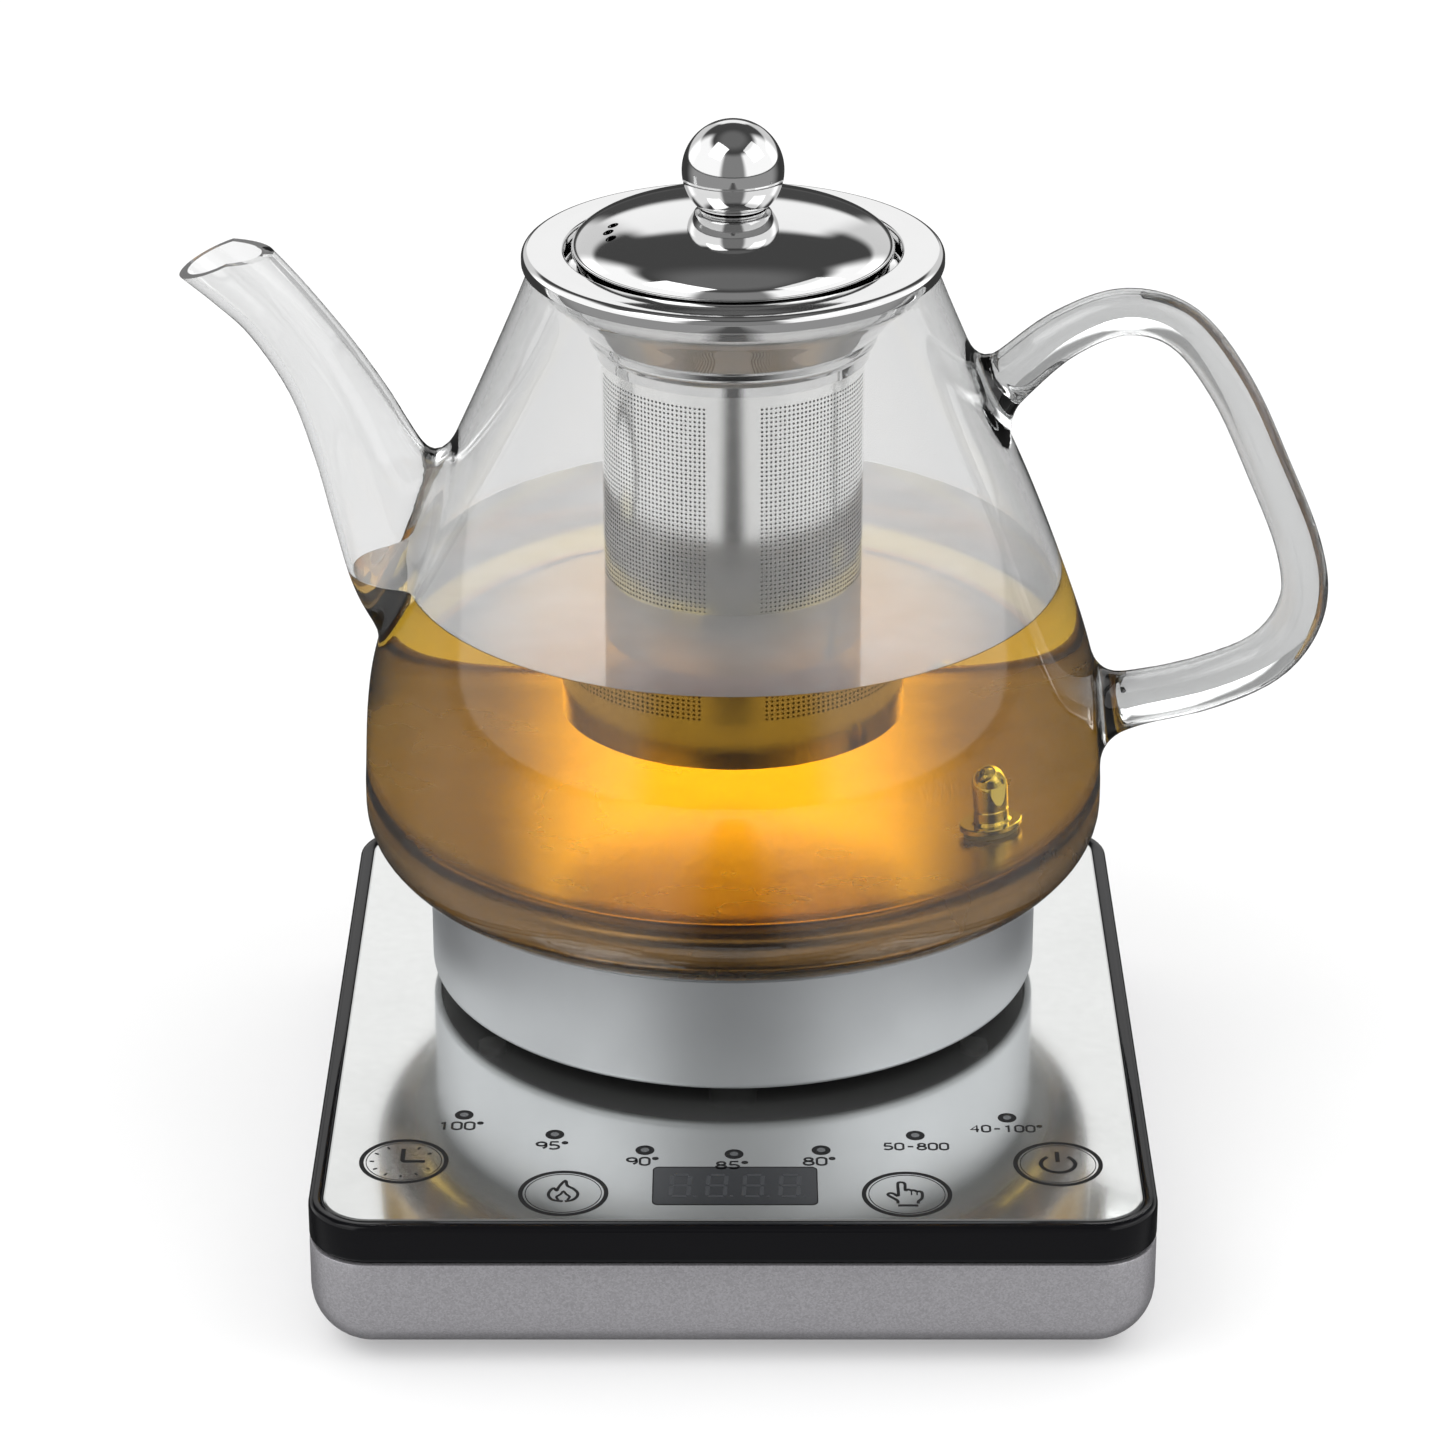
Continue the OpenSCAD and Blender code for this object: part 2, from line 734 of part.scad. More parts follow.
module infuser_rim() {
    top_in = rim_z - sheet;
    outer = smooth(bowl, 3);
    inner = [for (p = outer) [p[0] - sheet, p[1] + sheet * 0.35]];
    wall_in = basket_r + 0.05;
    color([0.78, 0.78, 0.78]) kettle() spin(concat(
        [[opening_r, rim_z - 1.6], [opening_r, rim_z - 0.4], [opening_r + 0.4, rim_z]],
        reversed(arc([rim_r - rim_edge, rim_z - rim_edge], rim_edge, 0, 90)),
        [[rim_r, rim_skirt_z], [rim_r - sheet, rim_skirt_z]],
        arc([rim_r - rim_edge, rim_z - rim_edge], rim_edge - sheet, 0, 90, 4),
        [[bowl[0][0], top_in]],
        outer,
        arc([28.3, 139.9], 0.9, 40, -60, 5),
        [[wall_in + sheet, 138], [wall_in + sheet, bowl_collar_z], [wall_in, bowl_collar_z]],
        [[wall_in, 139], [28.9 - sheet * 1.2, 141]],
        reversed(inner),
        [[bowl[0][0] - sheet, top_in], [opening_r + sheet, top_in], [opening_r + sheet, rim_z - 1.6]]));
}

module infuser_wall() {
    color([0.72, 0.72, 0.72]) kettle()
        tube(basket_r, basket_r - wall_t, basket_z, wall_top, fine);
}

module infuser_base() {
    color([0.7, 0.7, 0.7]) kettle()
        post(basket_r - wall_t - 0.05, basket_z + 0.4, basket_z + 1, fine);
}

// Lid

// A quarter of an ellipse from the dome's edge to its top, drawn in by the inset
function dome_line(inset) =
    [for (a = [0:7.5:90]) [(lid_r - inset) * cos(a), lid_z + (lid_rise - inset) * sin(a)]];

module lid_dome() {
    color([0.8, 0.8, 0.8]) kettle() difference() {
        spin(concat(
            [[lid_r, lid_z - sheet]], dome_line(0),
            reversed(dome_line(sheet)), [[lid_r - sheet, lid_z - sheet]]));
        at_each(vent_places) post(1.1, lid_z - 2, lid_z + lid_rise + over);
        post(2, lid_z, lid_z + lid_rise + over);
    }
}

module lid_inner_ring() {
    color([0.7, 0.7, 0.7]) kettle()
        tube(lid_skirt_r, lid_skirt_r - sheet, lid_skirt_z, lid_skirt_top, fine);
}

module knob_collar() {
    seat_z = lid_z + lid_rise + eps;
    color([0.8, 0.8, 0.8]) kettle()
        tube(knob_foot_r, 1.9, seat_z, seat_z + knob_foot_h);
}

module knob_ball() {
    cut_z = lid_z + lid_rise + knob_foot_h + 2 * eps;
    color([0.8, 0.8, 0.8]) kettle() difference() {
        translate([0, 0, knob_z]) sphere(r = knob_r, $fn = fine);
        translate([0, 0, cut_z - 10]) cylinder(h = 10, r = knob_r, $fn = small);
        post(1.9, cut_z - over, knob_z);
    }
}

module knob_screw() {
    seat = lid_z + lid_rise - sheet;
    color([0.7, 0.7, 0.72]) kettle() screw(4, 2, 1.8, seat - 0.2, 7.5);
}

base_shell();
base_frame();
glass_panel();
rubber_feet();
base_screws();
control_board();
display_module();
indicator_leds();
touch_springs();
board_screws();
buzzer();
power_board();
transformer();
relay();
filter_capacitor();
mains_fuse();
triac_heatsink();
terminal_block();
cord_gland();
base_coupler();
base_contacts();
coupler_screws();
coupler_collar();
kettle_skirt();
bottom_cover();
cover_screws();
kettle_feet();
kettle_coupler();
kettle_contacts();
glass_body();
glass_spout();
glass_handle();
heating_plate();
plate_seal();
heat_spreader();
heating_element();
thermal_cutout();
temperature_probe();
probe_gasket();
probe_nut();
infuser_rim();
infuser_wall();
infuser_base();
lid_dome();
lid_inner_ring();
knob_collar();
knob_ball();
knob_screw();
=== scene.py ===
import json
import math
from contextlib import contextmanager

import bmesh
import bpy
import numpy as np
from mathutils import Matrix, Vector


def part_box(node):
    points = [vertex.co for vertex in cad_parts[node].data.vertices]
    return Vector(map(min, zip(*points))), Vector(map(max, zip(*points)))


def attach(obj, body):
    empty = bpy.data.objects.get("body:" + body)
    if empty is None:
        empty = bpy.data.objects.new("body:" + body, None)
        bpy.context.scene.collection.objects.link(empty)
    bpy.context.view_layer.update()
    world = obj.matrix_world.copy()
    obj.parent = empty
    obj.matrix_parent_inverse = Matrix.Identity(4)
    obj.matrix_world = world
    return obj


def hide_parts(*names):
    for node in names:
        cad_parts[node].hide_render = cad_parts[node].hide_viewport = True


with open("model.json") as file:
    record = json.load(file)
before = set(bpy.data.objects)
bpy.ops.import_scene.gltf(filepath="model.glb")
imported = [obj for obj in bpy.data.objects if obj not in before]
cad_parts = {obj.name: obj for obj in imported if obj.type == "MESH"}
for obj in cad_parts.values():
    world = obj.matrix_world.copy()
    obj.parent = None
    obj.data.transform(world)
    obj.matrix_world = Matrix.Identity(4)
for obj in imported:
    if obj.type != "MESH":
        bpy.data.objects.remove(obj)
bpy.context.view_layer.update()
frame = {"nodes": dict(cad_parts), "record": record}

MM = 0.001

# ---------------------------------------------------------------- places, from the frame (mm)


def node_box(node):
    return [[c / MM for c in corner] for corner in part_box(node)]


PANEL_LO, PANEL_HI = node_box("glass_panel")
SHELL_LO, SHELL_HI = node_box("base_shell")
BAND_LO, BAND_HI = node_box("base_frame")
SKIRT_LO, SKIRT_HI = node_box("kettle_skirt")
GLASS_LO, GLASS_HI = node_box("glass_body")
PLATE_LO, PLATE_HI = node_box("heating_plate")
BASKET_LO, BASKET_HI = node_box("infuser_wall")
RIM_HI = node_box("infuser_rim")[1]
DOME_LO, DOME_HI = node_box("lid_dome")
BALL_LO, BALL_HI = node_box("knob_ball")
PROBE_LO, PROBE_HI = node_box("temperature_probe")
DISPLAY_LO, DISPLAY_HI = node_box("display_module")

KETTLE_Z = SKIRT_LO[2]          # the kettle's own heights start at its skirt's lower edge
TOP_Z = PANEL_HI[2]             # top face of the base
BASE_MID = [(a + b) / 2 for a, b in zip(BAND_LO, BAND_HI)]
BASE_W = BAND_HI[0] - BAND_LO[0]
BASE_D = BAND_HI[1] - BAND_LO[1]
CORNER_R = 12.5
GLASS_R = GLASS_HI[0]
NECK_Z = GLASS_HI[2]
GLASS_Z = GLASS_LO[2]
GLASS_WALL = 2.3
GLASS_CORNER = 11
NECK_R = 41
PLATE_Z = PLATE_HI[2]
RIM_R = RIM_HI[0]
RIM_Z = RIM_HI[2]
BASKET_R = BASKET_HI[0]
TEA_Z = KETTLE_Z + 88.5
# Where the painted sheen on the tea stops short of the spout (mm)
PAINTED_SHEEN_EDGE = -65.5


# ---------------------------------------------------------------- curves and meshes


def circle_points(steps, x=0.0, y=0.0, r=1.0):
    turns = [2 * math.pi * k / steps for k in range(steps)]
    return [(x + r * math.cos(a), y + r * math.sin(a)) for a in turns]


def arc(cx, cy, r, start, end, steps=8):
    angles = np.radians(np.linspace(start, end, steps + 1))
    return [(cx + r * math.cos(a), cy + r * math.sin(a)) for a in angles]


def smooth_path(points, steps):
    """A Catmull-Rom curve through rows of numbers."""
    p = np.array(points, float)
    p = np.vstack([2 * p[0] - p[1], p, 2 * p[-1] - p[-2]])
    rows = []
    for i in range(1, len(p) - 2):
        a, b, c, d = p[i - 1:i + 3]
        for t in np.arange(steps) / steps:
            rows.append(0.5 * (2 * b + (c - a) * t + (2 * a - 5 * b + 4 * c - d) * t * t
                               + (3 * b - a - 3 * c + d) * t ** 3))
    rows.append(p[-2])
    return np.array(rows)


def new_object(name, data):
    obj = bpy.data.objects.new(name, data)
    bpy.context.scene.collection.objects.link(obj)
    return obj


def new_mesh(name, verts, faces):
    mesh = bpy.data.meshes.new(name)
    mesh.from_pydata(verts, [], faces)
    return mesh


@contextmanager
def editing(mesh):
    """A bmesh of the mesh, written back at the end with its faces turned outwards."""
    bm = bmesh.new()
    bm.from_mesh(mesh)
    yield bm
    bmesh.ops.recalc_face_normals(bm, faces=bm.faces)
    bm.to_mesh(mesh)
    bm.free()


def shade(mesh, sharp_deg):
    mesh.shade_smooth()
    mesh.set_sharp_from_angle(angle=math.radians(sharp_deg))


def mesh_object(name, verts_mm, faces, smooth=True, sharp_deg=35):
    mesh = new_mesh(name, [tuple(v) for v in np.asarray(verts_mm, float) * MM], faces)
    mesh.validate()
    return finish_mesh(name, mesh, smooth, sharp_deg)


def finish_mesh(name, mesh, smooth=True, sharp_deg=35):
    obj = new_object(name, mesh)
    with editing(mesh):
        pass                    # only turns the faces outwards
    if smooth:
        shade(mesh, sharp_deg)
    return obj


def ring_faces(a, b, n):
    """The faces between two closed loops of n points, numbered from a and from b."""
    return [(a + j, a + (j + 1) % n, b + (j + 1) % n, b + j) for j in range(n)]


def revolve(name, outline, segments=160, closed=True, sharp_deg=35, centre=(0, 0)):
    """Turns an outline of (radius, height) about an upright axis.

    A point on the axis becomes one vertex."""
    verts, rings = [], []
    for r, z in outline:
        if r < 1e-6:
            rings.append([len(verts)])
            verts.append((centre[0], centre[1], z))
            continue
        rings.append(list(range(len(verts), len(verts) + segments)))
        verts += [(x, y, z) for x, y in circle_points(segments, *centre, r)]
    faces = []
    pairs = list(zip(rings, rings[1:]))
    if closed and len(rings[0]) > 1 and len(rings[-1]) > 1:
        pairs.append((rings[-1], rings[0]))
    for low, high in pairs:
        for i in range(segments):
            j = (i + 1) % segments
            if len(low) == 1 and len(high) == 1:
                break
            if len(low) == 1:
                faces.append((low[0], high[i], high[j]))
            elif len(high) == 1:
                faces.append((low[i], low[j], high[0]))
            else:
                faces.append((low[i], low[j], high[j], high[i]))
    return mesh_object(name, verts, faces, sharp_deg=sharp_deg)


def rounded_rectangle(cx, cy, w, d, r, steps):
    points = []
    for k, (sx, sy) in enumerate([(1, 1), (-1, 1), (-1, -1), (1, -1)]):
        points += arc(cx + sx * (w / 2 - r), cy + sy * (d / 2 - r), r, 90 * k, 90 * k + 90, steps)
    return points


def loft(name, loops, capped=False, ring=False):
    """Skins closed loops that have the same number of points."""
    n = len(loops[0])
    verts = [p for loop in loops for p in loop]
    faces = []
    spans = [(i * n, (i + 1) * n) for i in range(len(loops) - 1)]
    if ring:
        spans.append(((len(loops) - 1) * n, 0))
    for a, b in spans:
        faces += ring_faces(a, b, n)
    if capped:
        faces.append(tuple(range(n - 1, -1, -1)))
        faces.append(tuple(range((len(loops) - 1) * n, len(loops) * n)))
    return mesh_object(name, verts, faces)


def cut_away(obj, tool):
    """Takes the tool's volume out of the object."""
    mod = obj.modifiers.new("cut", "BOOLEAN")
    mod.operation = "DIFFERENCE"
    mod.solver = "EXACT"
    mod.object = tool
    graph = bpy.context.evaluated_depsgraph_get()
    mesh = bpy.data.meshes.new_from_object(obj.evaluated_get(graph))
    obj.modifiers.clear()
    obj.data = mesh
    bpy.data.objects.remove(tool)


def mesh_of(name, bm):
    mesh = bpy.data.meshes.new(name)
    bm.to_mesh(mesh)
    bm.free()
    return mesh


def join(name, parts):
    """One object out of several, each staying a closed shell."""
    bm = bmesh.new()
    for part in parts:
        bm.from_mesh(part.data)
        bpy.data.objects.remove(part)
    return finish_mesh(name, mesh_of(name, bm))


# ---------------------------------------------------------------- blended glass: distance fields


def outline_distance(outline, p):
    """Signed distance from points to a turned outline, negative inside. Its ends lie on the axis."""
    r, z = np.hypot(p[:, 0], p[:, 1]), p[:, 2]
    line = np.array(outline, float)
    best = np.full(len(p), 1e9)
    inside = np.zeros(len(p), bool)
    for (r0, z0), (r1, z1) in zip(line, line[1:]):
        dr, dz = r1 - r0, z1 - z0
        t = np.clip(((r - r0) * dr + (z - z0) * dz) / (dr * dr + dz * dz), 0, 1)
        best = np.minimum(best, (r - r0 - t * dr) ** 2 + (z - z0 - t * dz) ** 2)
        if dz != 0:
            inside ^= ((z0 > z) != (z1 > z)) & (r < r0 + (z - z0) / dz * dr)
    best = np.sqrt(best)
    return np.where(inside, -best, best)


class Turned:
    """The distance to a turned outline, looked up in a fine table of radius and height."""

    STEP = 0.5

    def __init__(self, outline):
        line = np.array(outline, float)
        self.low = line[:, 1].min() - 12
        self.r = np.arange(0, line[:, 0].max() + 50, self.STEP)
        self.z = np.arange(self.low, line[:, 1].max() + 12, self.STEP)
        r, z = np.meshgrid(self.r, self.z, indexing="ij")
        flat = np.stack([r.ravel(), np.zeros(r.size), z.ravel()], axis=1)
        self.table = outline_distance(outline, flat).reshape(r.shape)

    def __call__(self, p):
        u = np.clip(np.hypot(p[:, 0], p[:, 1]) / self.STEP, 0, len(self.r) - 1.001)
        v = np.clip((p[:, 2] - self.low) / self.STEP, 0, len(self.z) - 1.001)
        i, j = u.astype(int), v.astype(int)
        u, v = u - i, v - j
        t = self.table
        return ((t[i, j] * (1 - u) + t[i + 1, j] * u) * (1 - v)
                + (t[i, j + 1] * (1 - u) + t[i + 1, j + 1] * u) * v)


FAR = 60.0


def tube_distance(sections, p):
    """Signed distance to a tube whose sections are ellipses: (x, z, half-axis x, half-axis z, half depth)."""
    best = np.full(len(p), FAR)
    c, a = sections[:, :2], sections[:, 2:4]
    long = np.linalg.norm(a, axis=1)
    reach = long.max() + 10
    low, high = c.min(axis=0) - reach, c.max(axis=0) + reach
    q = p[:, [0, 2]]
    chosen = np.flatnonzero(np.all((q > low) & (q < high), axis=1) & (np.abs(p[:, 1]) < reach))
    if not len(chosen):
        return best
    q, depth = q[chosen], p[chosen, 1]
    found = np.full(len(chosen), FAR)
    a = a / long[:, None]
    normal = np.stack([-a[:, 1], a[:, 0]], axis=1)
    normal *= np.sign(np.sum(normal * np.gradient(c, axis=0), axis=1))[:, None]
    last = len(c) - 1
    side = [(q - c[i]) @ normal[i] for i in range(last + 1)]
    for i in range(last):
        s0, s1 = side[i], side[i + 1]
        s_start = s0 if i else np.ones(len(q))
        s_end = s1 if i < last - 1 else -np.ones(len(q))
        near = (s_start >= 0) & (s_end < 0)
        near &= np.sum((q - c[i]) ** 2, axis=1) < (long[i] + 14) ** 2
        if not near.any():
            continue
        w = np.clip(s0[near] / np.where(np.abs(s0[near] - s1[near]) < 1e-9, 1, s0[near] - s1[near]), 0, 1)
        ww = w[:, None]
        mid = c[i] * (1 - ww) + c[i + 1] * ww
        axis = a[i] * (1 - ww) + a[i + 1] * ww
        axis /= np.linalg.norm(axis, axis=1)[:, None]
        la = long[i] * (1 - w) + long[i + 1] * w
        lb = sections[i, 4] * (1 - w) + sections[i + 1, 4] * w
        u, v = np.sum((q[near] - mid) * axis, axis=1), depth[near]
        rho = np.hypot(u / la, v / lb)
        slope = np.maximum(np.hypot(u / la ** 2, v / lb ** 2), 1e-6)
        d = np.where(rho > 1e-3, rho * (rho - 1) / slope, -np.minimum(la, lb))
        d = np.maximum(d, -np.minimum(la, lb))
        if i == 0:
            d = np.maximum(d, -s0[near])
        if i == last - 1:
            d = np.maximum(d, s1[near])
        found[near] = np.minimum(found[near], d)
    best[chosen] = found
    return best


def blend_union(a, b):
    """The union of two distances, with a fillet where they meet."""
    h = np.maximum(FILLET - np.abs(a - b), 0) / FILLET
    return np.minimum(a, b) - h * h * FILLET / 4


def surface_nets(values, lo, h):
    """Vertices and quads of the zero surface of a grid of distances."""
    shape = np.array(values.shape)
    cells = tuple(shape - 1)
    place = np.zeros(cells + (3,))
    count = np.zeros(cells)
    grid = np.indices(cells)
    crossings = []
    for axis in range(3):
        first = [slice(None)] * 3
        second = [slice(None)] * 3
        first[axis], second[axis] = slice(None, -1), slice(1, None)
        a, b = values[tuple(first)], values[tuple(second)]
        cross = (a < 0) != (b < 0)
        t = np.where(cross, a / np.where(cross, a - b, 1), 0)
        crossings.append((cross, a < 0))
        u, v = [k for k in range(3) if k != axis]
        for du in (0, 1):
            for dv in (0, 1):
                part = [slice(None)] * 3
                part[u] = slice(du, du + cells[u])
                part[v] = slice(dv, dv + cells[v])
                c = cross[tuple(part)]
                place[..., axis] += c * (grid[axis] + t[tuple(part)])
                place[..., u] += c * (grid[u] + du)
                place[..., v] += c * (grid[v] + dv)
                count += c
    used = count > 0
    index = np.cumsum(used.ravel()).reshape(cells) - 1
    verts = place[used] / count[used][:, None] * h + lo
    quads = []
    for axis, (cross, starts_inside) in enumerate(crossings):
        u, v = [(1, 2), (2, 0), (0, 1)][axis]
        inner = [slice(None)] * 3
        inner[u], inner[v] = slice(1, -1), slice(1, -1)
        where = np.argwhere(cross[tuple(inner)])
        where[:, u] += 1
        where[:, v] += 1
        out = starts_inside[tuple(where.T)]
        corners = []
        for du, dv in ((-1, -1), (0, -1), (0, 0), (-1, 0)):
            at = where.copy()
            at[:, u] += du
            at[:, v] += dv
            corners.append(index[tuple(at.T)])
        quad = np.stack(corners, axis=1)
        quad[~out] = quad[~out][:, ::-1]
        quads.append(quad)
    return verts, np.vstack(quads)


def gradient(field, p, step=0.02):
    g = np.empty_like(p)
    for k in range(3):
        d = np.zeros(3)
        d[k] = step
        g[:, k] = (field(p + d) - field(p - d)) / (2 * step)
    return g


def settle(field, verts, quads, rounds=3):
    """Evens out the vertices along the surface, then puts each exactly on it."""
    edges = np.vstack([quads[:, [0, 1]], quads[:, [1, 2]], quads[:, [2, 3]], quads[:, [3, 0]]])
    count = np.maximum(np.bincount(edges[:, 0], minlength=len(verts)), 1)[:, None]
    for k in range(rounds + 2):
        g = gradient(field, verts)
        size = np.maximum(np.sum(g * g, axis=1), 0.04)[:, None]
        if k < rounds:
            total = np.stack([np.bincount(edges[:, 0], verts[edges[:, 1], axis], len(verts))
                              for axis in range(3)], axis=1)
            shift = total / count - verts
            verts = verts + 0.6 * (shift - g * np.sum(shift * g, axis=1)[:, None] / size)
        verts = verts - np.clip(g / size * field(verts)[:, None], -0.8, 0.8)
    return verts


def field_mesh(name, field, lo, hi, h):
    axes = [np.arange(a, b + h, h) for a, b in zip(lo, hi)]
    shape = tuple(len(a) for a in axes)
    values = np.empty(shape)
    for i, x in enumerate(axes[0]):
        y, z = np.meshgrid(axes[1], axes[2], indexing="ij")
        p = np.stack([np.full(y.size, x), y.ravel(), z.ravel()], axis=1)
        values[i] = field(p).reshape(shape[1:])
    verts, quads = surface_nets(values, np.array(lo, float), h)
    verts = settle(field, verts, quads)
    return mesh_object(name, verts, quads.tolist())


def cut_flat(obj, point_mm, normal):
    """Cuts away the side that normal points to and closes the cut."""
    with editing(obj.data) as bm:
        cut = bmesh.ops.bisect_plane(bm, geom=bm.verts[:] + bm.edges[:] + bm.faces[:], dist=1e-7,
                                     plane_co=Vector(point_mm) * MM, plane_no=Vector(normal),
                                     clear_outer=True)
        edges = [e for e in cut["geom_cut"] if isinstance(e, bmesh.types.BMEdge)]
        bmesh.ops.triangle_fill(bm, use_beauty=True, edges=edges)


# ---------------------------------------------------------------- the glass jug and the tea

# Height above the kettle's lower edge and radius of the glass wall, up from its widest part
GLASS_SHOULDER = [(60, 76.2), (72, 73.9), (90, 67.8), (108, 60.8), (126, 52.7), (144, 44.9)]

# Lower edge, upper edge and half depth of each section of the spout, from the body to the lip
SPOUT = [
    ((-70.6, 75.5), (-57, 112.5), 14.5),
    ((-75.2, 78), (-60.6, 113), 14.2),
    ((-79, 86), (-63.5, 115.5), 12.8),
    ((-82.2, 98.5), (-66.5, 120.5), 11.3),
    ((-85.6, 112.8), (-70.3, 127.3), 10),
    ((-90.4, 127.3), (-77, 137.5), 8.8),
    ((-97.9, 139.6), (-85.4, 148.6), 8.2),
    ((-104.6, 146.4), (-90.5, 154.6), 8.5),
    ((-111.6, 152.4), (-95, 159.5), 9),
]
SPOUT_WALL = 1.8

# Place and radius of each section of the handle's tube
HANDLE = [
    ((50.9, 126.2), 7.6), ((56.2, 130.4), 5.6), ((67, 139.4), 5), ((79.5, 144.2), 4.8),
    ((91.5, 140.6), 4.7), ((101.6, 127.6), 4.6), ((109.9, 110), 4.6), ((116.8, 92.8), 4.7),
    ((118.2, 80), 5), ((112.2, 69), 5.4), ((99.5, 62.4), 5.7), ((84, 58.6), 5.9),
    ((75.4, 56.8), 7.8),
]
HANDLE_WALL = 1.6
FILLET = 5
GLASS_GRID, BORE_GRID = 1.5, 1.2


def glass_outline(inset):
    """The body's wall as (radius, height), from its bottom to its neck."""
    r, c = GLASS_R - inset, GLASS_CORNER - inset
    bottom = arc(GLASS_R - GLASS_CORNER, GLASS_Z + GLASS_CORNER, c, -90, 0, 12)
    wall = [(r, GLASS_Z - KETTLE_Z + GLASS_CORNER + 4)]
    wall += [(radius - inset, z) for z, radius in GLASS_SHOULDER]
    wall += [(NECK_R - inset, NECK_Z - KETTLE_Z - 3)]
    wall = [(a, b + KETTLE_Z) for a, b in smooth_path(wall, 6)]
    return bottom + wall + [(NECK_R - inset, NECK_Z + 4)]


def spout_sections(inset, lead_in, lead_out):
    """The spout's sections, run on past its root and past its mouth."""
    rows = []
    for (lx, lz), (ux, uz), depth in SPOUT:
        half = np.array([ux - lx, uz - lz]) / 2
        half *= 1 - inset / np.linalg.norm(half)
        rows.append([(lx + ux) / 2, (lz + uz) / 2 + KETTLE_Z, half[0], half[1], depth - inset])
    rows = smooth_path(rows, 5)
    first, last = rows[0].copy(), rows[-1].copy()
    first[:2] -= (rows[1] - rows[0])[:2] * lead_in
    last[:2] += (rows[-1] - rows[-2])[:2] * lead_out
    return np.vstack([first, rows, last])


def handle_sections(inset, trim):
    rows = smooth_path([(x, z + KETTLE_Z, r) for (x, z), r in HANDLE], 5)
    rows = rows[trim:len(rows) - trim]
    run = np.gradient(rows[:, :2], axis=0)
    across = np.stack([-run[:, 1], run[:, 0]], axis=1) / np.linalg.norm(run, axis=1)[:, None]
    r = rows[:, 2] - inset
    if trim:
        r = np.minimum(r, rows[:, 2].min() - inset + 0.6)
    return np.column_stack([rows[:, 0], rows[:, 1], across * r[:, None], r])


LIP_R = 60.5
OUTER_BODY = Turned([(0, GLASS_Z)] + glass_outline(0) + [(0, NECK_Z + 4)])
INNER_BODY = Turned([(0, GLASS_Z - 4), (LIP_R, GLASS_Z - 4), (LIP_R, GLASS_Z + GLASS_WALL)]
                    + glass_outline(GLASS_WALL) + [(0, NECK_Z + 4)])
SPOUT_OUT = spout_sections(0, 0.5, 2)
SPOUT_IN = spout_sections(SPOUT_WALL, 2, 3)
HANDLE_OUT = handle_sections(0, 0)
HANDLE_IN = handle_sections(HANDLE_WALL, 3)


def outer_field(p):
    d = blend_union(OUTER_BODY(p), tube_distance(SPOUT_OUT, p))
    return blend_union(d, tube_distance(HANDLE_OUT, p))


def cavity_field(p):
    return blend_union(INNER_BODY(p), tube_distance(SPOUT_IN, p))


def mouth_plane():
    (lx, lz), (ux, uz), _ = SPOUT[-1]
    point = ((lx + ux) / 2, 0, (lz + uz) / 2 + KETTLE_Z)
    return point, (-(uz - lz), 0, ux - lx)


def make_jug():
    lo = (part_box("glass_spout")[0][0] / MM - 6, -GLASS_R - 3, GLASS_Z - 3.4)
    hi = (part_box("glass_handle")[1][0] / MM + 3, GLASS_R + 3, NECK_Z + 8)
    jug = field_mesh("glass_jug", outer_field, lo, hi, GLASS_GRID)
    cavity = field_mesh("cavity", cavity_field, (lo[0], lo[1], GLASS_Z - 6.7), hi, GLASS_GRID)
    bore = field_mesh("bore", lambda p: tube_distance(HANDLE_IN, p),
                      (50, -8, KETTLE_Z + 50), (126, 8, KETTLE_Z + 152), BORE_GRID)
    tea = new_object("tea", cavity.data.copy())
    cut_away(jug, cavity)
    cut_away(jug, bore)
    point, normal = mouth_plane()
    cut_flat(jug, point, normal)
    cut_flat(jug, (0, 0, NECK_Z), (0, 0, 1))
    shade(jug.data, 50)
    return jug, tea


def make_tea(tea):
    """The tea fills the jug's cavity to its level and reaches a little into the glass and the steel."""
    reach = 0.25 * MM
    mesh = tea.data
    coords = np.empty(len(mesh.vertices) * 3)
    normals = np.empty(len(mesh.vertices) * 3)
    mesh.vertices.foreach_get("co", coords)
    mesh.vertex_normals.foreach_get("vector", normals)
    mesh.vertices.foreach_set("co", coords + reach * normals)
    cut_flat(tea, (0, 0, TEA_Z), (0, 0, 1))
    cut_flat(tea, (0, 0, GLASS_Z + GLASS_WALL + 1.2), (0, 0, -1))
    shade(mesh, 40)
    return tea


def make_painted_sheen(tea):
    """A painted sheen on the tea: the flat top of the tea without the spout's part, a hair above it, as a
    sheet that stands in for the light its surface throws back.
    """
    bm = bmesh.new()
    bm.from_mesh(tea.data)
    keep = [f for f in bm.faces
            if f.normal.z > 0.99 and abs(f.calc_center_median().z - TEA_Z * MM) < 1e-5]
    bmesh.ops.delete(bm, geom=list(set(bm.faces) - set(keep)), context="FACES")
    bmesh.ops.bisect_plane(bm, geom=bm.verts[:] + bm.edges[:] + bm.faces[:], plane_co=(PAINTED_SHEEN_EDGE * MM, 0, 0),
                           plane_no=(-1, 0, 0), clear_outer=True)
    bmesh.ops.translate(bm, verts=bm.verts, vec=(0, 0, 0.1 * MM))
    return new_object("painted_sheen_sheet", mesh_of("painted_sheen_sheet", bm))


# ---------------------------------------------------------------- the infuser's perforated wall

HOLE_PITCH = 0.95
HOLE_R = 0.27
HOLES_FROM, HOLES_TO = 66, 133.5
BLANK_WIDTH = 10                # least width of the plain strips between the panels
SHEET = 0.6
FLOOR_POINTS = 96

CELL_EDGE = [(0, 0), (0.5, 0), (1, 0), (1, 0.5), (1, 1), (0.5, 1), (0, 1), (0, 0.5)]
HOLE_EDGE = arc(0.5, 0.5, HOLE_R / HOLE_PITCH, 225, 540, 7)


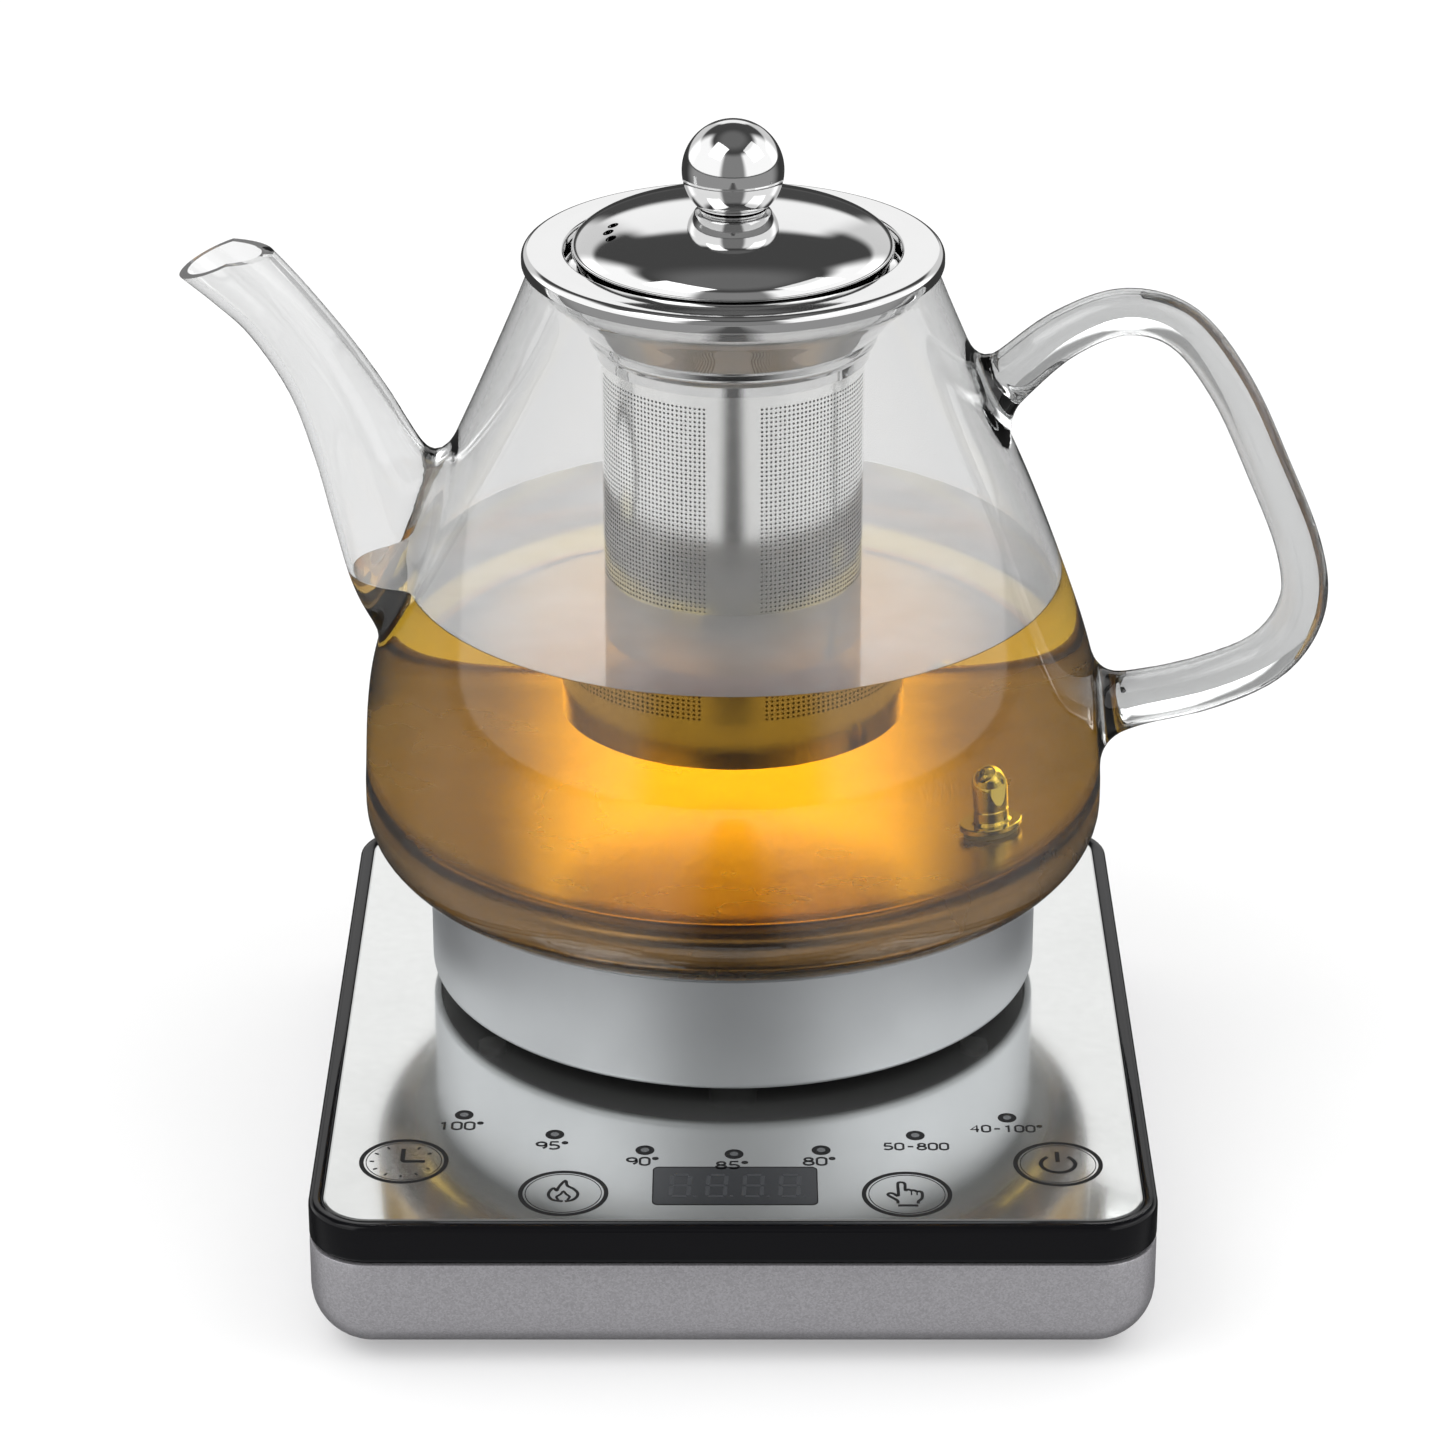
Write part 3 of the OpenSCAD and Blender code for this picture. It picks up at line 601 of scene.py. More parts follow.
def perforated(cells, place):
    """A sheet of square cells with an eight-sided hole in each.

    place(u, v, side) is the point at u, v (in cells) on side 0 or 1 of the sheet.
    Returns the points, the faces and the sheet's open edges, as pairs of point numbers."""
    index, points, faces, half_edges = {}, [], [], {}

    def vert(u, v, side):
        key = (round(u * 2), round(v * 2), side)
        if key not in index:
            index[key] = len(points)
            points.append(place(u, v, side))
        return index[key]

    for i, j in cells:
        rims = []
        for side in (0, 1):
            edge = [vert(i + u, j + v, side) for u, v in CELL_EDGE]
            rim = list(range(len(points), len(points) + 8))
            points.extend(place(i + u, j + v, side) for u, v in HOLE_EDGE)
            rims.append(rim)
            for k in range(8):
                n = (k + 1) % 8
                quad = (edge[k], edge[n], rim[n], rim[k])
                faces.append(quad if side == 0 else quad[::-1])
                half_edges[edge[k], edge[n]] = side
        for k in range(8):
            n = (k + 1) % 8
            faces.append((rims[0][k], rims[0][n], rims[1][n], rims[1][k]))
    open_edges = [[e for e, s in half_edges.items() if s == side and e[::-1] not in half_edges]
                  for side in (0, 1)]
    return points, faces, open_edges


def make_basket():
    """Four perforated panels, the blank strips between them, and the solid bands above and below."""
    z_low, bottom, top = KETTLE_Z + HOLES_FROM, BASKET_LO[2], BASKET_HI[2] - 0.1
    rows = int((HOLES_TO - HOLES_FROM) / HOLE_PITCH)
    z_high = z_low + rows * HOLE_PITCH
    step = HOLE_PITCH / BASKET_R
    columns = int((math.pi / 2 - BLANK_WIDTH / BASKET_R) / step)
    blank = math.pi / 2 - columns * step
    inside = BASKET_R - SHEET
    cells = [(i, j) for i in range(columns) for j in range(rows)]
    made, strips = [], []
    for q in range(4):
        start = q * math.pi / 2 + blank / 2

        def on_wall(u, v, side, start=start):
            r, a = BASKET_R - side * SHEET, start + u * step
            return (r * math.cos(a), r * math.sin(a), z_low + v * HOLE_PITCH)

        points, faces, (outer, inner) = perforated(cells, on_wall)
        faces += [(b, a, c, d) for (a, b), (c, d) in zip(outer, inner)]
        made.append(mesh_object(f"basket_mesh_{q + 1}", points, faces, sharp_deg=30))
        strip = math.degrees(start - blank), math.degrees(start)
        loops = [[(x, y, z) for x, y in arc(0, 0, r, *strip, 12)]
                 for r, z in ((BASKET_R, z_low), (BASKET_R, z_high), (inside, z_high), (inside, z_low))]
        faces = [(0, 13, 26, 39), (12, 51, 38, 25)]
        for k in range(4):
            b, c = k * 13, (k + 1) % 4 * 13
            faces += [(b + j, b + j + 1, c + j + 1, c + j) for j in range(12)]
        strips.append(mesh_object(f"strip_{q}", [p for loop in loops for p in loop], faces))
    band_low = revolve("band_low", [(inside, z_low), (inside, bottom + 0.3), (inside + 0.15, bottom)]
                       + arc(BASKET_R - 0.35, bottom + 0.35, 0.35, -90, 0, 4) + [(BASKET_R, z_low)])
    band_high = revolve("band_high", [(inside, z_high), (BASKET_R, z_high), (BASKET_R, top), (inside, top)])
    return made + [join("basket_bands", strips + [band_low, band_high])]


def make_basket_floor():
    """The infuser's bottom: a perforated disc inside the lower band."""
    r = BASKET_R - SHEET - 0.02
    z_top, z_low = BASKET_LO[2] + 1, BASKET_LO[2] + 0.4
    n = int(r / HOLE_PITCH)
    cells = [(i, j) for i in range(-n, n) for j in range(-n, n)
             if math.hypot(i + 0.5, j + 0.5) * HOLE_PITCH < r - 2.2]

    def on_floor(u, v, side):
        return (u * HOLE_PITCH, v * HOLE_PITCH, z_low if side else z_top)

    points, faces, open_edges = perforated(cells, on_floor)
    rings = []
    for z in (z_top, z_low):
        rings.append(list(range(len(points), len(points) + FLOOR_POINTS)))
        points += [(x, y, z) for x, y in circle_points(FLOOR_POINTS, r=r)]
    faces += [(rings[0][k], rings[0][k - 1], rings[1][k - 1], rings[1][k]) for k in range(FLOOR_POINTS)]
    bm = bmesh.new()
    verts = [bm.verts.new([c * MM for c in p]) for p in points]
    for face in faces:
        bm.faces.new([verts[k] for k in face])
    for side in (0, 1):
        pairs = open_edges[side] + [(rings[side][k - 1], rings[side][k]) for k in range(FLOOR_POINTS)]
        edges = [bm.edges.get((verts[a], verts[b])) for a, b in pairs]
        bmesh.ops.triangle_fill(bm, use_beauty=True, edges=edges)
    return finish_mesh("basket_floor", mesh_of("basket_floor", bm), sharp_deg=30)


# ---------------------------------------------------------------- turned steel parts


def at_kettle(outline):
    return [(r, z + KETTLE_Z) for r, z in outline]


RIM_EDGE = 1.6
INFUSER_BOWL = [(38, 153.5), (37, 150), (33.6, 146.3), (28.9, 141)]
OPENING_R = 34.1
VENTS = [(-24, -3.9), (-24.9, -6.7), (-24.3, -9.9)]
VENT_R = 1.1
LID_SHEET = 0.8
FOOT_R = 6.9


def make_rim():
    """The infuser's flat rim with its rolled edges, the funnel under it and the bead on the basket."""
    rim_z = RIM_Z - KETTLE_Z
    sheet = 0.8
    bowl = [tuple(p) for p in smooth_path(INFUSER_BOWL, 6)]
    inside = [(r - sheet, z + sheet * 0.35) for r, z in bowl]
    outline = [(OPENING_R, rim_z - 1.6), (OPENING_R, rim_z - 0.6)]
    outline += arc(OPENING_R + 0.6, rim_z - 0.6, 0.6, 180, 90, 5)
    outline += [(OPENING_R + 3, rim_z - 0.15), (RIM_R - 3.4, rim_z - 0.15)]
    outline += arc(RIM_R - RIM_EDGE, rim_z - RIM_EDGE, RIM_EDGE, 90, 0, 10)
    outline += [(RIM_R, 155.3), (RIM_R - 0.15, 154.85), (RIM_R - 0.55, 154.8), (RIM_R - sheet, 155.1)]
    outline += arc(RIM_R - RIM_EDGE, rim_z - RIM_EDGE, RIM_EDGE - sheet, 0, 90, 6)
    outline += [(38, rim_z - sheet)] + bowl
    outline += arc(28.3, 139.9, 0.9, 40, -60, 8)
    outline += [(BASKET_R + 0.9, 138), (BASKET_R + 0.9, 136), (BASKET_R + 0.1, 135.9)]
    outline += [(BASKET_R + 0.1, 139), (28.9 - sheet * 1.2, 141)]
    outline += inside[::-1]
    outline += [(38 - sheet, rim_z - sheet), (OPENING_R + sheet, rim_z - sheet),
                (OPENING_R + sheet, rim_z - 1.6)]
    return revolve("infuser_funnel", at_kettle(outline), segments=256)


def make_dome():
    """The lid: an elliptical dome with an upright edge and three steam holes."""
    lid_r, low, top = DOME_HI[0], DOME_LO[2], DOME_HI[2]
    spring = low + 0.8          # where the dome starts, above its upright edge

    def line(inset):
        points = [((lid_r - inset) * math.cos(a), spring + (top - spring - inset) * math.sin(a))
                  for a in np.linspace(0, math.pi / 2, 40)]
        return points[:-1] + [(0, top - inset)]

    outline = [(lid_r - 0.55, low), (lid_r - 0.2, low + 0.06), (lid_r, low + 0.3)] + line(0)
    outline += line(LID_SHEET)[::-1] + [(lid_r - LID_SHEET, low + 0.25)]
    dome = revolve("lid_shell", outline, segments=256)
    for k, (x, y) in enumerate(VENTS):
        tool = revolve(f"vent_{k}", [(0, low - 2), (VENT_R, low - 2), (VENT_R, top + 3), (0, top + 3)],
                       24, closed=False, centre=(x, y))
        cut_away(dome, tool)
    shade(dome.data, 35)
    return dome


def make_knob():
    """The ball, cut flat where it sits, and the thin washer it sits on."""
    r, low = BALL_HI[0], BALL_LO[2]
    z_ball = BALL_HI[2] - r
    start = math.degrees(math.asin((low - z_ball) / r))
    cut = r * math.cos(math.radians(start))
    outline = [(0, low), (cut - 0.3, low), (cut - 0.08, low + 0.06)]
    outline += arc(0, z_ball, r, start + 1, 90, 64)
    outline[-1] = (0, BALL_HI[2])
    ball = revolve("knob_sphere", outline, segments=192, closed=False, sharp_deg=50)
    seat = DOME_HI[2] + 0.03
    outline = [(0, seat), (FOOT_R - 0.1, seat), (FOOT_R, seat + 0.1), (FOOT_R, low - 0.12),
               (FOOT_R - 0.1, low - 0.03), (0, low - 0.03)]
    foot = revolve("knob_washer", outline, segments=128, closed=False)
    return ball, foot


def make_skirt():
    z0, z1, r = SKIRT_LO[2], SKIRT_HI[2], SKIRT_HI[0]
    outline = arc(r - 1.4, z0 + 1.4, 1.4, -90, 0, 8)
    outline += arc(r - 0.5, z1 - 0.5, 0.5, 0, 90, 4)
    outline += [(57, z1), (57, z1 - 1), (r - 1, z1 - 1), (r - 1, z0 + 0.3)]
    return revolve("skirt_shell", outline, segments=256)


def make_plate():
    """The heating plate: flat in the middle, with a rounded rim turned down to its flange."""
    z, foot = PLATE_Z, PLATE_LO[2]
    r, round_r, t = 67.5, 4.5, 1
    outline = [(0, z)] + [(x, z) for x in np.linspace(8, 56, 7)]
    outline += [(60.5, z), (61.5, z - 0.12), (62.2, z - 0.12), (62.9, z)]
    outline += arc(r - round_r, z - round_r, round_r, 88, 0, 14)
    outline += arc(r + 1, foot + t + 1, 1, 180, 270, 5)
    outline += [(PLATE_HI[0] - 0.6, foot + t), (PLATE_HI[0] - 0.6, foot), (r - t, foot)]
    outline += arc(r - round_r, z - round_r, round_r - t, 0, 90, 10)
    outline += [(0, z - t)]
    return revolve("plate_dish", outline, segments=256, closed=False)


def make_probe():
    """The temperature sensor: a domed post above a round flange."""
    x, y = (PROBE_LO[0] + PROBE_HI[0]) / 2, (PROBE_LO[1] + PROBE_HI[1]) / 2
    r, flange = 3.2, 5.7
    top, z = PROBE_HI[2], PLATE_Z
    outline = [(0, z - 1.5), (2.5, z - 1.5), (2.5, z + 1)]
    outline += [(flange - 0.2, z + 1), (flange, z + 1.2), (flange, z + 2), (flange - 0.25, z + 2.2)]
    outline += [(r + 0.5, z + 2.2), (r, z + 2.7), (r, z + 4.4), (r - 0.2, z + 4.6), (r - 0.2, z + 4.9),
                (r, z + 5.1)]
    outline += arc(0, top - r, r, 0, 90, 12)
    outline[-1] = (0, top)
    return revolve("probe_post", outline, segments=72, closed=False, centre=(x, y), sharp_deg=30)


# ---------------------------------------------------------------- the base's outer parts


def inset_loop(inset, z):
    """The base's outline at height z, drawn in by inset."""
    outline = rounded_rectangle(BASE_MID[0], BASE_MID[1], BASE_W - 2 * inset, BASE_D - 2 * inset,
                                max(CORNER_R - inset, 0.3), 12)
    return [(x, y, z) for x, y in outline]


def curled_loops(inset, z, r, angles):
    """Loops that turn from the flat bottom at z up into the upright side at inset."""
    return [inset_loop(inset + r * (1 - math.sin(a)), z + r * (1 - math.cos(a)))
            for a in np.radians(angles)]


def make_tray():
    """The silver lower shell: sides that round under into a flat bottom, and its inner faces."""
    z0, z1 = SHELL_LO[2], SHELL_HI[2]
    round_r, wall = 12, 2.2
    loops = curled_loops(0, z0, round_r, np.linspace(0, 90, 15))
    loops += [inset_loop(0, z1 - 0.6), inset_loop(0.15, z1 - 0.2), inset_loop(0.6, z1 - 0.05),
              inset_loop(wall, z1 - 0.05)]
    loops += curled_loops(wall, z0 + wall, round_r - wall, np.linspace(90, 0, 8))
    return loft("shell_skin", loops, capped=True)


def make_band():
    """The gloss frame: a rolled upper edge, a shadow gap under it and the rebate for the panel."""
    low, top = SHELL_HI[2], BAND_HI[2]
    panel = PANEL_LO[0] - BAND_LO[0]
    loops = [inset_loop(2.6, low), inset_loop(0.9, low), inset_loop(0.9, low + 0.5),
             inset_loop(0.35, low + 0.6), inset_loop(0.05, low + 0.95), inset_loop(0, low + 1.4),
             inset_loop(0, top - 1.1)]
    loops += [inset_loop(r, z) for r, z in arc(1.1, top - 1.1, 1.1, 165, 90, 5)]
    loops += [inset_loop(panel - 0.35, top), inset_loop(panel - 0.12, top - 0.15),
              inset_loop(panel - 0.1, top - 0.5), inset_loop(panel - 0.1, PANEL_LO[2] - 0.05),
              inset_loop(panel + 3, PANEL_LO[2] - 0.05), inset_loop(panel + 3, PANEL_LO[2] - 1.6),
              inset_loop(2.6, PANEL_LO[2] - 1.6)]
    band = loft("frame_band", loops, ring=True)
    web_low, web_top = PANEL_LO[2] - 1.6, PANEL_LO[2] - 0.06
    web = revolve("frame_web", [(17.2, web_low), (60, web_low), (60, web_top), (17.2, web_top)], segments=96)
    return join("frame_band", [band, web])


COUPLER_HOLE_R = 18.3
HOLE_POINTS = 96


def make_panel():
    """The control panel's plate with a ground edge and the round hole for the coupler."""
    inset, hole_r = PANEL_LO[0] - BAND_LO[0], COUPLER_HOLE_R
    z0, z1 = PANEL_LO[2], PANEL_HI[2]
    loops = [inset_loop(inset, z0), inset_loop(inset, z1 - 0.45)]
    loops += [inset_loop(inset + 0.13, z1 - 0.13), inset_loop(inset + 0.45, z1)]
    n = len(loops[0])
    verts = [p for loop in loops for p in loop]
    faces = [face for i in range(len(loops) - 1) for face in ring_faces(i * n, (i + 1) * n, n)]
    start = len(verts)
    for r, z in ((hole_r + 0.3, z1), (hole_r, z1 - 0.3), (hole_r, z0)):
        verts += [(x, y, z) for x, y in circle_points(HOLE_POINTS, r=r)]
    for a in (start, start + HOLE_POINTS):
        faces += ring_faces(a, a + HOLE_POINTS, HOLE_POINTS)
    panel = mesh_object("panel_plate", verts, faces)
    with editing(panel.data) as bm:
        for z in (z1, z0):
            edges = [e for e in bm.edges if len(e.link_faces) == 1
                     and all(abs(v.co.z / MM - z) < 1e-3 for v in e.verts)]
            bmesh.ops.triangle_fill(bm, use_beauty=True, edges=edges)
    shade(panel.data, 20)
    return panel


# ---------------------------------------------------------------- prints on the panel

PRINT_Z = TOP_Z + 0.02          # lower face of the ink
PRINT_T = 0.03                  # thickness of the ink


class Print:
    """Flat printed shapes, gathered into one thin mesh. Layer 1 lies on layer 0."""

    def __init__(self, layer=0):
        self.verts, self.faces = [], []
        self.low = PRINT_Z + layer * PRINT_T
        self.high = self.low + PRINT_T

    def area(self, points):
        """A filled outline, extruded by the ink's thickness."""
        n, start = len(points), len(self.verts)
        self.verts += [(x, y, z) for z in (self.low, self.high) for x, y in points]
        self.faces.append(tuple(range(start + n - 1, start - 1, -1)))
        self.faces.append(tuple(range(start + n, start + 2 * n)))
        self.faces += [(start + k, start + (k + 1) % n, start + n + (k + 1) % n, start + n + k)
                       for k in range(n)]

    def stroke(self, points, width, closed=False):
        """A line of even width along the points."""
        p = np.array(points, float)
        if closed:
            run = np.roll(p, -1, axis=0) - np.roll(p, 1, axis=0)
        else:
            run = np.gradient(p, axis=0)
        run /= np.linalg.norm(run, axis=1)[:, None]
        side = np.stack([-run[:, 1], run[:, 0]], axis=1) * width / 2
        left, right, n, start = p + side, p - side, len(p), len(self.verts)
        self.verts += [(x, y, z) for z in (self.low, self.high) for line in (left, right) for x, y in line]
        lo_l, lo_r, hi_l, hi_r = start, start + n, start + 2 * n, start + 3 * n
        last = n if closed else n - 1
        for k in range(last):
            m = (k + 1) % n
            self.faces += [(hi_l + k, hi_r + k, hi_r + m, hi_l + m), (lo_l + k, lo_l + m, lo_r + m, lo_r + k),
                           (lo_l + k, hi_l + k, hi_l + m, lo_l + m), (lo_r + k, lo_r + m, hi_r + m, hi_r + k)]
        if not closed:
            for k in (0, n - 1):
                self.faces.append((lo_l + k, lo_r + k, hi_r + k, hi_l + k))

    def circle(self, x, y, r, width):
        self.stroke(circle_points(96, x, y, r), width, closed=True)

    def dot(self, x, y, r, steps=32):
        self.area(circle_points(steps, x, y, r))

    def make(self, name):
        return mesh_object(name, self.verts, self.faces, smooth=False)


# Strokes of the digits and the degree sign in a cell 1 wide and 2 high
DIGITS = {
    "0": [arc(0.5, 1.5, 0.5, 0, 180, 10) + arc(0.5, 0.5, 0.5, 180, 360, 10) + [(1, 1.5)]],
    "1": [[(0.2, 1.65), (0.55, 2), (0.55, 0)]],
    "4": [[(0.75, 0), (0.75, 2), (0, 0.7), (1, 0.7)]],
    "-": [[(0.15, 0.95), (0.85, 0.95)]],
    "5": [[(0.95, 2), (0.15, 2), (0.08, 1.15)] + arc(0.45, 0.62, 0.56, 125, -140, 14)],
    "8": [arc(0.5, 1.5, 0.42, 0, 360, 14), arc(0.5, 0.53, 0.52, 0, 360, 14)],
    "9": [arc(0.5, 1.42, 0.5, 0, 360, 14), [(1, 1.42)] + arc(0.35, 0.9, 0.68, 10, -62, 8)],
    "o": [arc(0.25, 1.75, 0.24, 0, 360, 10)],
}


def number(ink, text, x, y, height, width):
    """Digits centred at x, y."""
    scale = height / 2
    pitch = 1.72 * scale
    start = x - (len(text) * pitch - 0.5 * scale) / 2
    for k, glyph in enumerate(text):
        for points in DIGITS[glyph]:
            ink.stroke([(start + k * pitch + px * scale * 1.25, y - height / 2 + py * scale)
                        for px, py in points], width)


LED_PLACES = [(-54.4, -66.8), (-35.8, -74.9), (-17.6, -81.3), (0.2, -82.9), (17.6, -81.3),
              (36.6, -75.3), (55.4, -68)]
LED_NUMBERS = ("100o", "95o", "90o", "85o", "80o", "50-800", "40-100o")
KEY_PLACES = [(-65.5, -85.8), (-33.4, -98.5), (34.2, -98.9), (64.6, -86.9)]
KEY_R = 8.9
LED_R = 1.9


def make_prints():
    ink = Print()
    for x, y in KEY_PLACES:
        ink.circle(x, y, KEY_R - 0.45, 0.9)
        ink.circle(x, y, KEY_R - 1.4, 0.16)
    line = 0.62
    # Clock hands
    x, y = KEY_PLACES[0]
    ink.stroke([(x - 0.3, y + 5), (x - 0.3, y + 0.2), (x - 0.1, y - 0.05), (x + 4.2, y - 0.05)], 0.95)
    for a in range(0, 360, 30):
        c, s = math.cos(math.radians(a)), math.sin(math.radians(a))
        if a not in (0, 90):
            ink.stroke([(x - 0.3 + 5.6 * c, y + 5.6 * s), (x - 0.3 + 6.5 * c, y + 6.5 * s)], 0.4)
    # Flame
    x, y = KEY_PLACES[1]
    flame = [(0, -3.6), (-2, -3), (-2.9, -1.2), (-2.6, 0.6), (-1.9, 1.6), (-1.3, 0.6), (-0.9, 2.2),
             (0.3, 4.6), (0.7, 2.6), (1.9, 1.4), (2.8, -0.2), (2.7, -1.8), (1.8, -3.1), (0.4, -3.6)]
    ink.stroke(smooth_path([(x + a, y + b + 0.4) for a, b in flame], 4), line)
    core = [(-0.9, -3), (-1.3, -1.8), (-0.5, -0.8), (0, 0.4), (0.6, -0.8), (1.3, -1.8), (0.9, -3)]
    ink.stroke(smooth_path([(x + a, y + b + 0.4) for a, b in core], 3), line * 0.8)
    # Hand with one finger out
    x, y = KEY_PLACES[2]
    hand = [(-1.9, -3.6), (-2, -2.4), (-3.7, -0.4), (-3.4, 0.4), (-2.6, 0.2), (-1.7, -0.6), (-1.7, 4.1),
            (-1, 4.7), (-0.3, 4.1), (-0.3, 1.5), (0.3, 1.9), (0.9, 1.5), (1.4, 1.6), (2, 1.1), (2.6, 1.1),
            (3, 0.4), (2.9, -1.6), (2.2, -2.7), (2.1, -3.6)]
    ink.stroke(smooth_path([(x + a, y + b) for a, b in hand], 3), line)
    ink.stroke([(x - 1.9, y - 4.4), (x + 2.1, y - 4.4)], 0.7)
    for a in (0.9, 2):
        ink.stroke([(x + a, y + 1.2), (x + a, y - 0.3)], 0.3)
    # Power sign
    x, y = KEY_PLACES[3]
    ink.stroke(arc(x, y, 3.4, 125, 413, 48), 0.85)
    ink.stroke([(x, y + 4.9), (x, y + 0.8)], 0.85)
    # One temperature under a lamp, or a smaller range
    for (px, py), text in zip(LED_PLACES, LED_NUMBERS):
        number(ink, text, px, py - 4.5, *((2.6, 0.45) if "-" in text else (3.0, 0.5)))
    lamps, glow = Print(), Print(layer=1)
    for px, py in LED_PLACES:
        lamps.dot(px, py, LED_R)
        glow.dot(px, py, LED_R * 0.45)
    return ink.make("panel_print"), lamps.make("lamp_rings"), glow.make("lamp_lenses")


# Both ends of each segment of a digit
SEGMENTS = [((-1, 2), (1, 2)), ((1, 2), (1, 0)), ((1, 0), (1, -2)), ((-1, -2), (1, -2)),
            ((-1, 0), (-1, -2)), ((-1, 2), (-1, 0)), ((-1, 0), (1, 0))]
DIGIT_PITCH = 7.2


def make_display():
    """A dark window with a thin line round it, and four unlit seven-segment digits with their points."""
    x0, x1 = DISPLAY_LO[0], DISPLAY_HI[0]
    y0, y1 = DISPLAY_LO[1], DISPLAY_HI[1]
    cx, cy = (x0 + x1) / 2, (y0 + y1) / 2
    window = Print()
    outline = rounded_rectangle(cx, cy, x1 - x0, y1 - y0, 1.2, 6)
    window.area(outline)
    frame_line = Print(layer=1)
    frame_line.stroke(outline, 0.25, closed=True)
    digits = Print(layer=1)
    for k in range(4):
        mx = cx + (k - 1.5) * DIGIT_PITCH
        for ends in SEGMENTS:
            p = np.array([(mx + u * 1.75 + v * 0.1, cy + v * 2.1) for u, v in ends])
            run = (p[1] - p[0]) / np.linalg.norm(p[1] - p[0])
            side = np.array([-run[1], run[0]]) * 0.42
            e = run * 0.5
            digits.area([p[0] + e * 0.4, p[0] + e + side, p[1] - e + side,
                         p[1] - e * 0.4, p[1] - e - side, p[0] + e - side])
        digits.dot(mx + 2.9, cy - 4.2, 0.35, 16)
    return window.make("display_window"), frame_line.make("display_edge"), digits.make("display_digits")


# ---------------------------------------------------------------- materials


class Graph:
    """A node tree being put together."""

    def __init__(self, tree):
        self.nodes, self.links = tree.nodes, tree.links

    def node(self, kind, inputs=None, **props):
        made = self.nodes.new(kind)
        for key, value in props.items():
            setattr(made, key, value)
        for key, value in (inputs or {}).items():
            if isinstance(value, bpy.types.NodeSocket):
                self.links.new(value, made.inputs[key])
            else:
                made.inputs[key].default_value = value
        return made

    def math(self, operation, a, b=0.0):
        return self.node("ShaderNodeMath", {0: a, 1: b}, operation=operation).outputs[0]

    def mix(self, kind, factor, a, b):
        """a where the factor is 0 and b where it is 1."""
        made = self.node("ShaderNodeMix", {"Factor": factor, "A": a, "B": b}, data_type=kind)
        return made.outputs["Result"]


class Paint(Graph):
    """A material: a Principled shader with what feeds it."""

    def __init__(self, name, **sockets):
        self.mat = bpy.data.materials.new(name)
        self.mat.use_nodes = True
        super().__init__(self.mat.node_tree)
        self.shader = self.nodes["Principled BSDF"]
        for key, value in sockets.items():
            socket = self.shader.inputs[key.replace("_", " ").title().replace("Ior", "IOR")]
            socket.default_value = (*value, 1) if isinstance(value, tuple) else value

    def feed(self, value, socket):
        self.links.new(value, self.shader.inputs[socket])

    def place(self, scale=(1, 1, 1)):
        """Object coordinates in metres, scaled."""
        coords = self.node("ShaderNodeTexCoord").outputs["Object"]
        return self.node("ShaderNodeMapping", {"Vector": coords, "Scale": scale}).outputs[0]

    def parts(self):
        """x, y and z of the object coordinates."""
        coords = self.node("ShaderNodeTexCoord").outputs["Object"]
        return self.node("ShaderNodeSeparateXYZ", {0: coords}).outputs

    def reach(self, parts):
        """Distance from the kettle's axis."""
        squares = [self.math("MULTIPLY", parts[k], parts[k]) for k in (0, 1)]
        return self.math("SQRT", self.math("ADD", *squares))

    def polar(self, around, along, upright):
        """Coordinates that run round the kettle's axis, outwards from it and up."""
        parts = self.parts()
        angle = self.math("ARCTAN2", parts[1], parts[0])
        pairs = ((angle, around), (self.reach(parts), along), (parts[2], upright))
        return self.node("ShaderNodeCombineXYZ", {
            k: self.math("MULTIPLY", value, scale) for k, (value, scale) in enumerate(pairs)}).outputs[0]

    def noise(self, vector, scale, detail=3, rough=0.55):
        return self.node("ShaderNodeTexNoise", {
            "Vector": vector, "Scale": scale, "Detail": detail, "Roughness": rough}).outputs["Fac"]

    def spread(self, value, low, high, out_low, out_high):
        return self.node("ShaderNodeMapRange", {
            "Value": value, "From Min": low, "From Max": high, "To Min": out_low,
            "To Max": out_high}).outputs[0]

    def tint(self, value, dark, light):
        """Base colour between two colours."""
        self.feed(self.mix("RGBA", value, (*dark, 1), (*light, 1)), "Base Color")

    def smudge(self, where, scale, detail, low, high, top=0.7, rough=0.55):
        """Gloss that wanders between two roughnesses. Returns the cloudy pattern."""
        cloud = self.noise(where, scale, detail, rough)
        self.feed(self.spread(cloud, 0.3, top, low, high), "Roughness")
        return cloud

    def absorb(self, colour, density):
        """Tints what passes through."""
        volume = self.node("ShaderNodeVolumeAbsorption", {"Color": (*colour, 1), "Density": density})
        self.links.new(volume.outputs[0], self.nodes["Material Output"].inputs["Volume"])

    def bump(self, height, distance, strength=1.0):
        made = self.node("ShaderNodeBump", {"Height": height, "Distance": distance, "Strength": strength})
        self.feed(made.outputs[0], "Normal")


def metal(name, colour, rough, smear, grain=0.0, *polar):
    """Steel or aluminium: smudges in the gloss, and faint scratches or turning marks."""
    paint = Paint(name, base_color=colour, metallic=1.0, roughness=rough)
    where = paint.place()
    paint.smudge(where, 38, 4, rough - smear, rough + smear)
    paint.tint(paint.noise(where, 90, 2), tuple(c * 0.96 for c in colour), colour)
    if grain:
        paint.bump(paint.noise(paint.polar(*polar), 1, 3, 0.7), grain)
    return paint.mat


def plastic(name, colour, rough, texture, scale, coat=0.0):
    """Moulded or painted plastic: a fine surface and a slightly uneven gloss."""
    paint = Paint(name, base_color=colour, roughness=rough, coat_weight=coat)
    where = paint.place()
    paint.smudge(where, 60, 3, rough * 0.88, rough * 1.12)
    paint.tint(paint.noise(where, scale * 0.6, 2), tuple(c * 0.9 for c in colour), colour)
    paint.bump(paint.noise(where, scale, 2), texture)
    return paint.mat


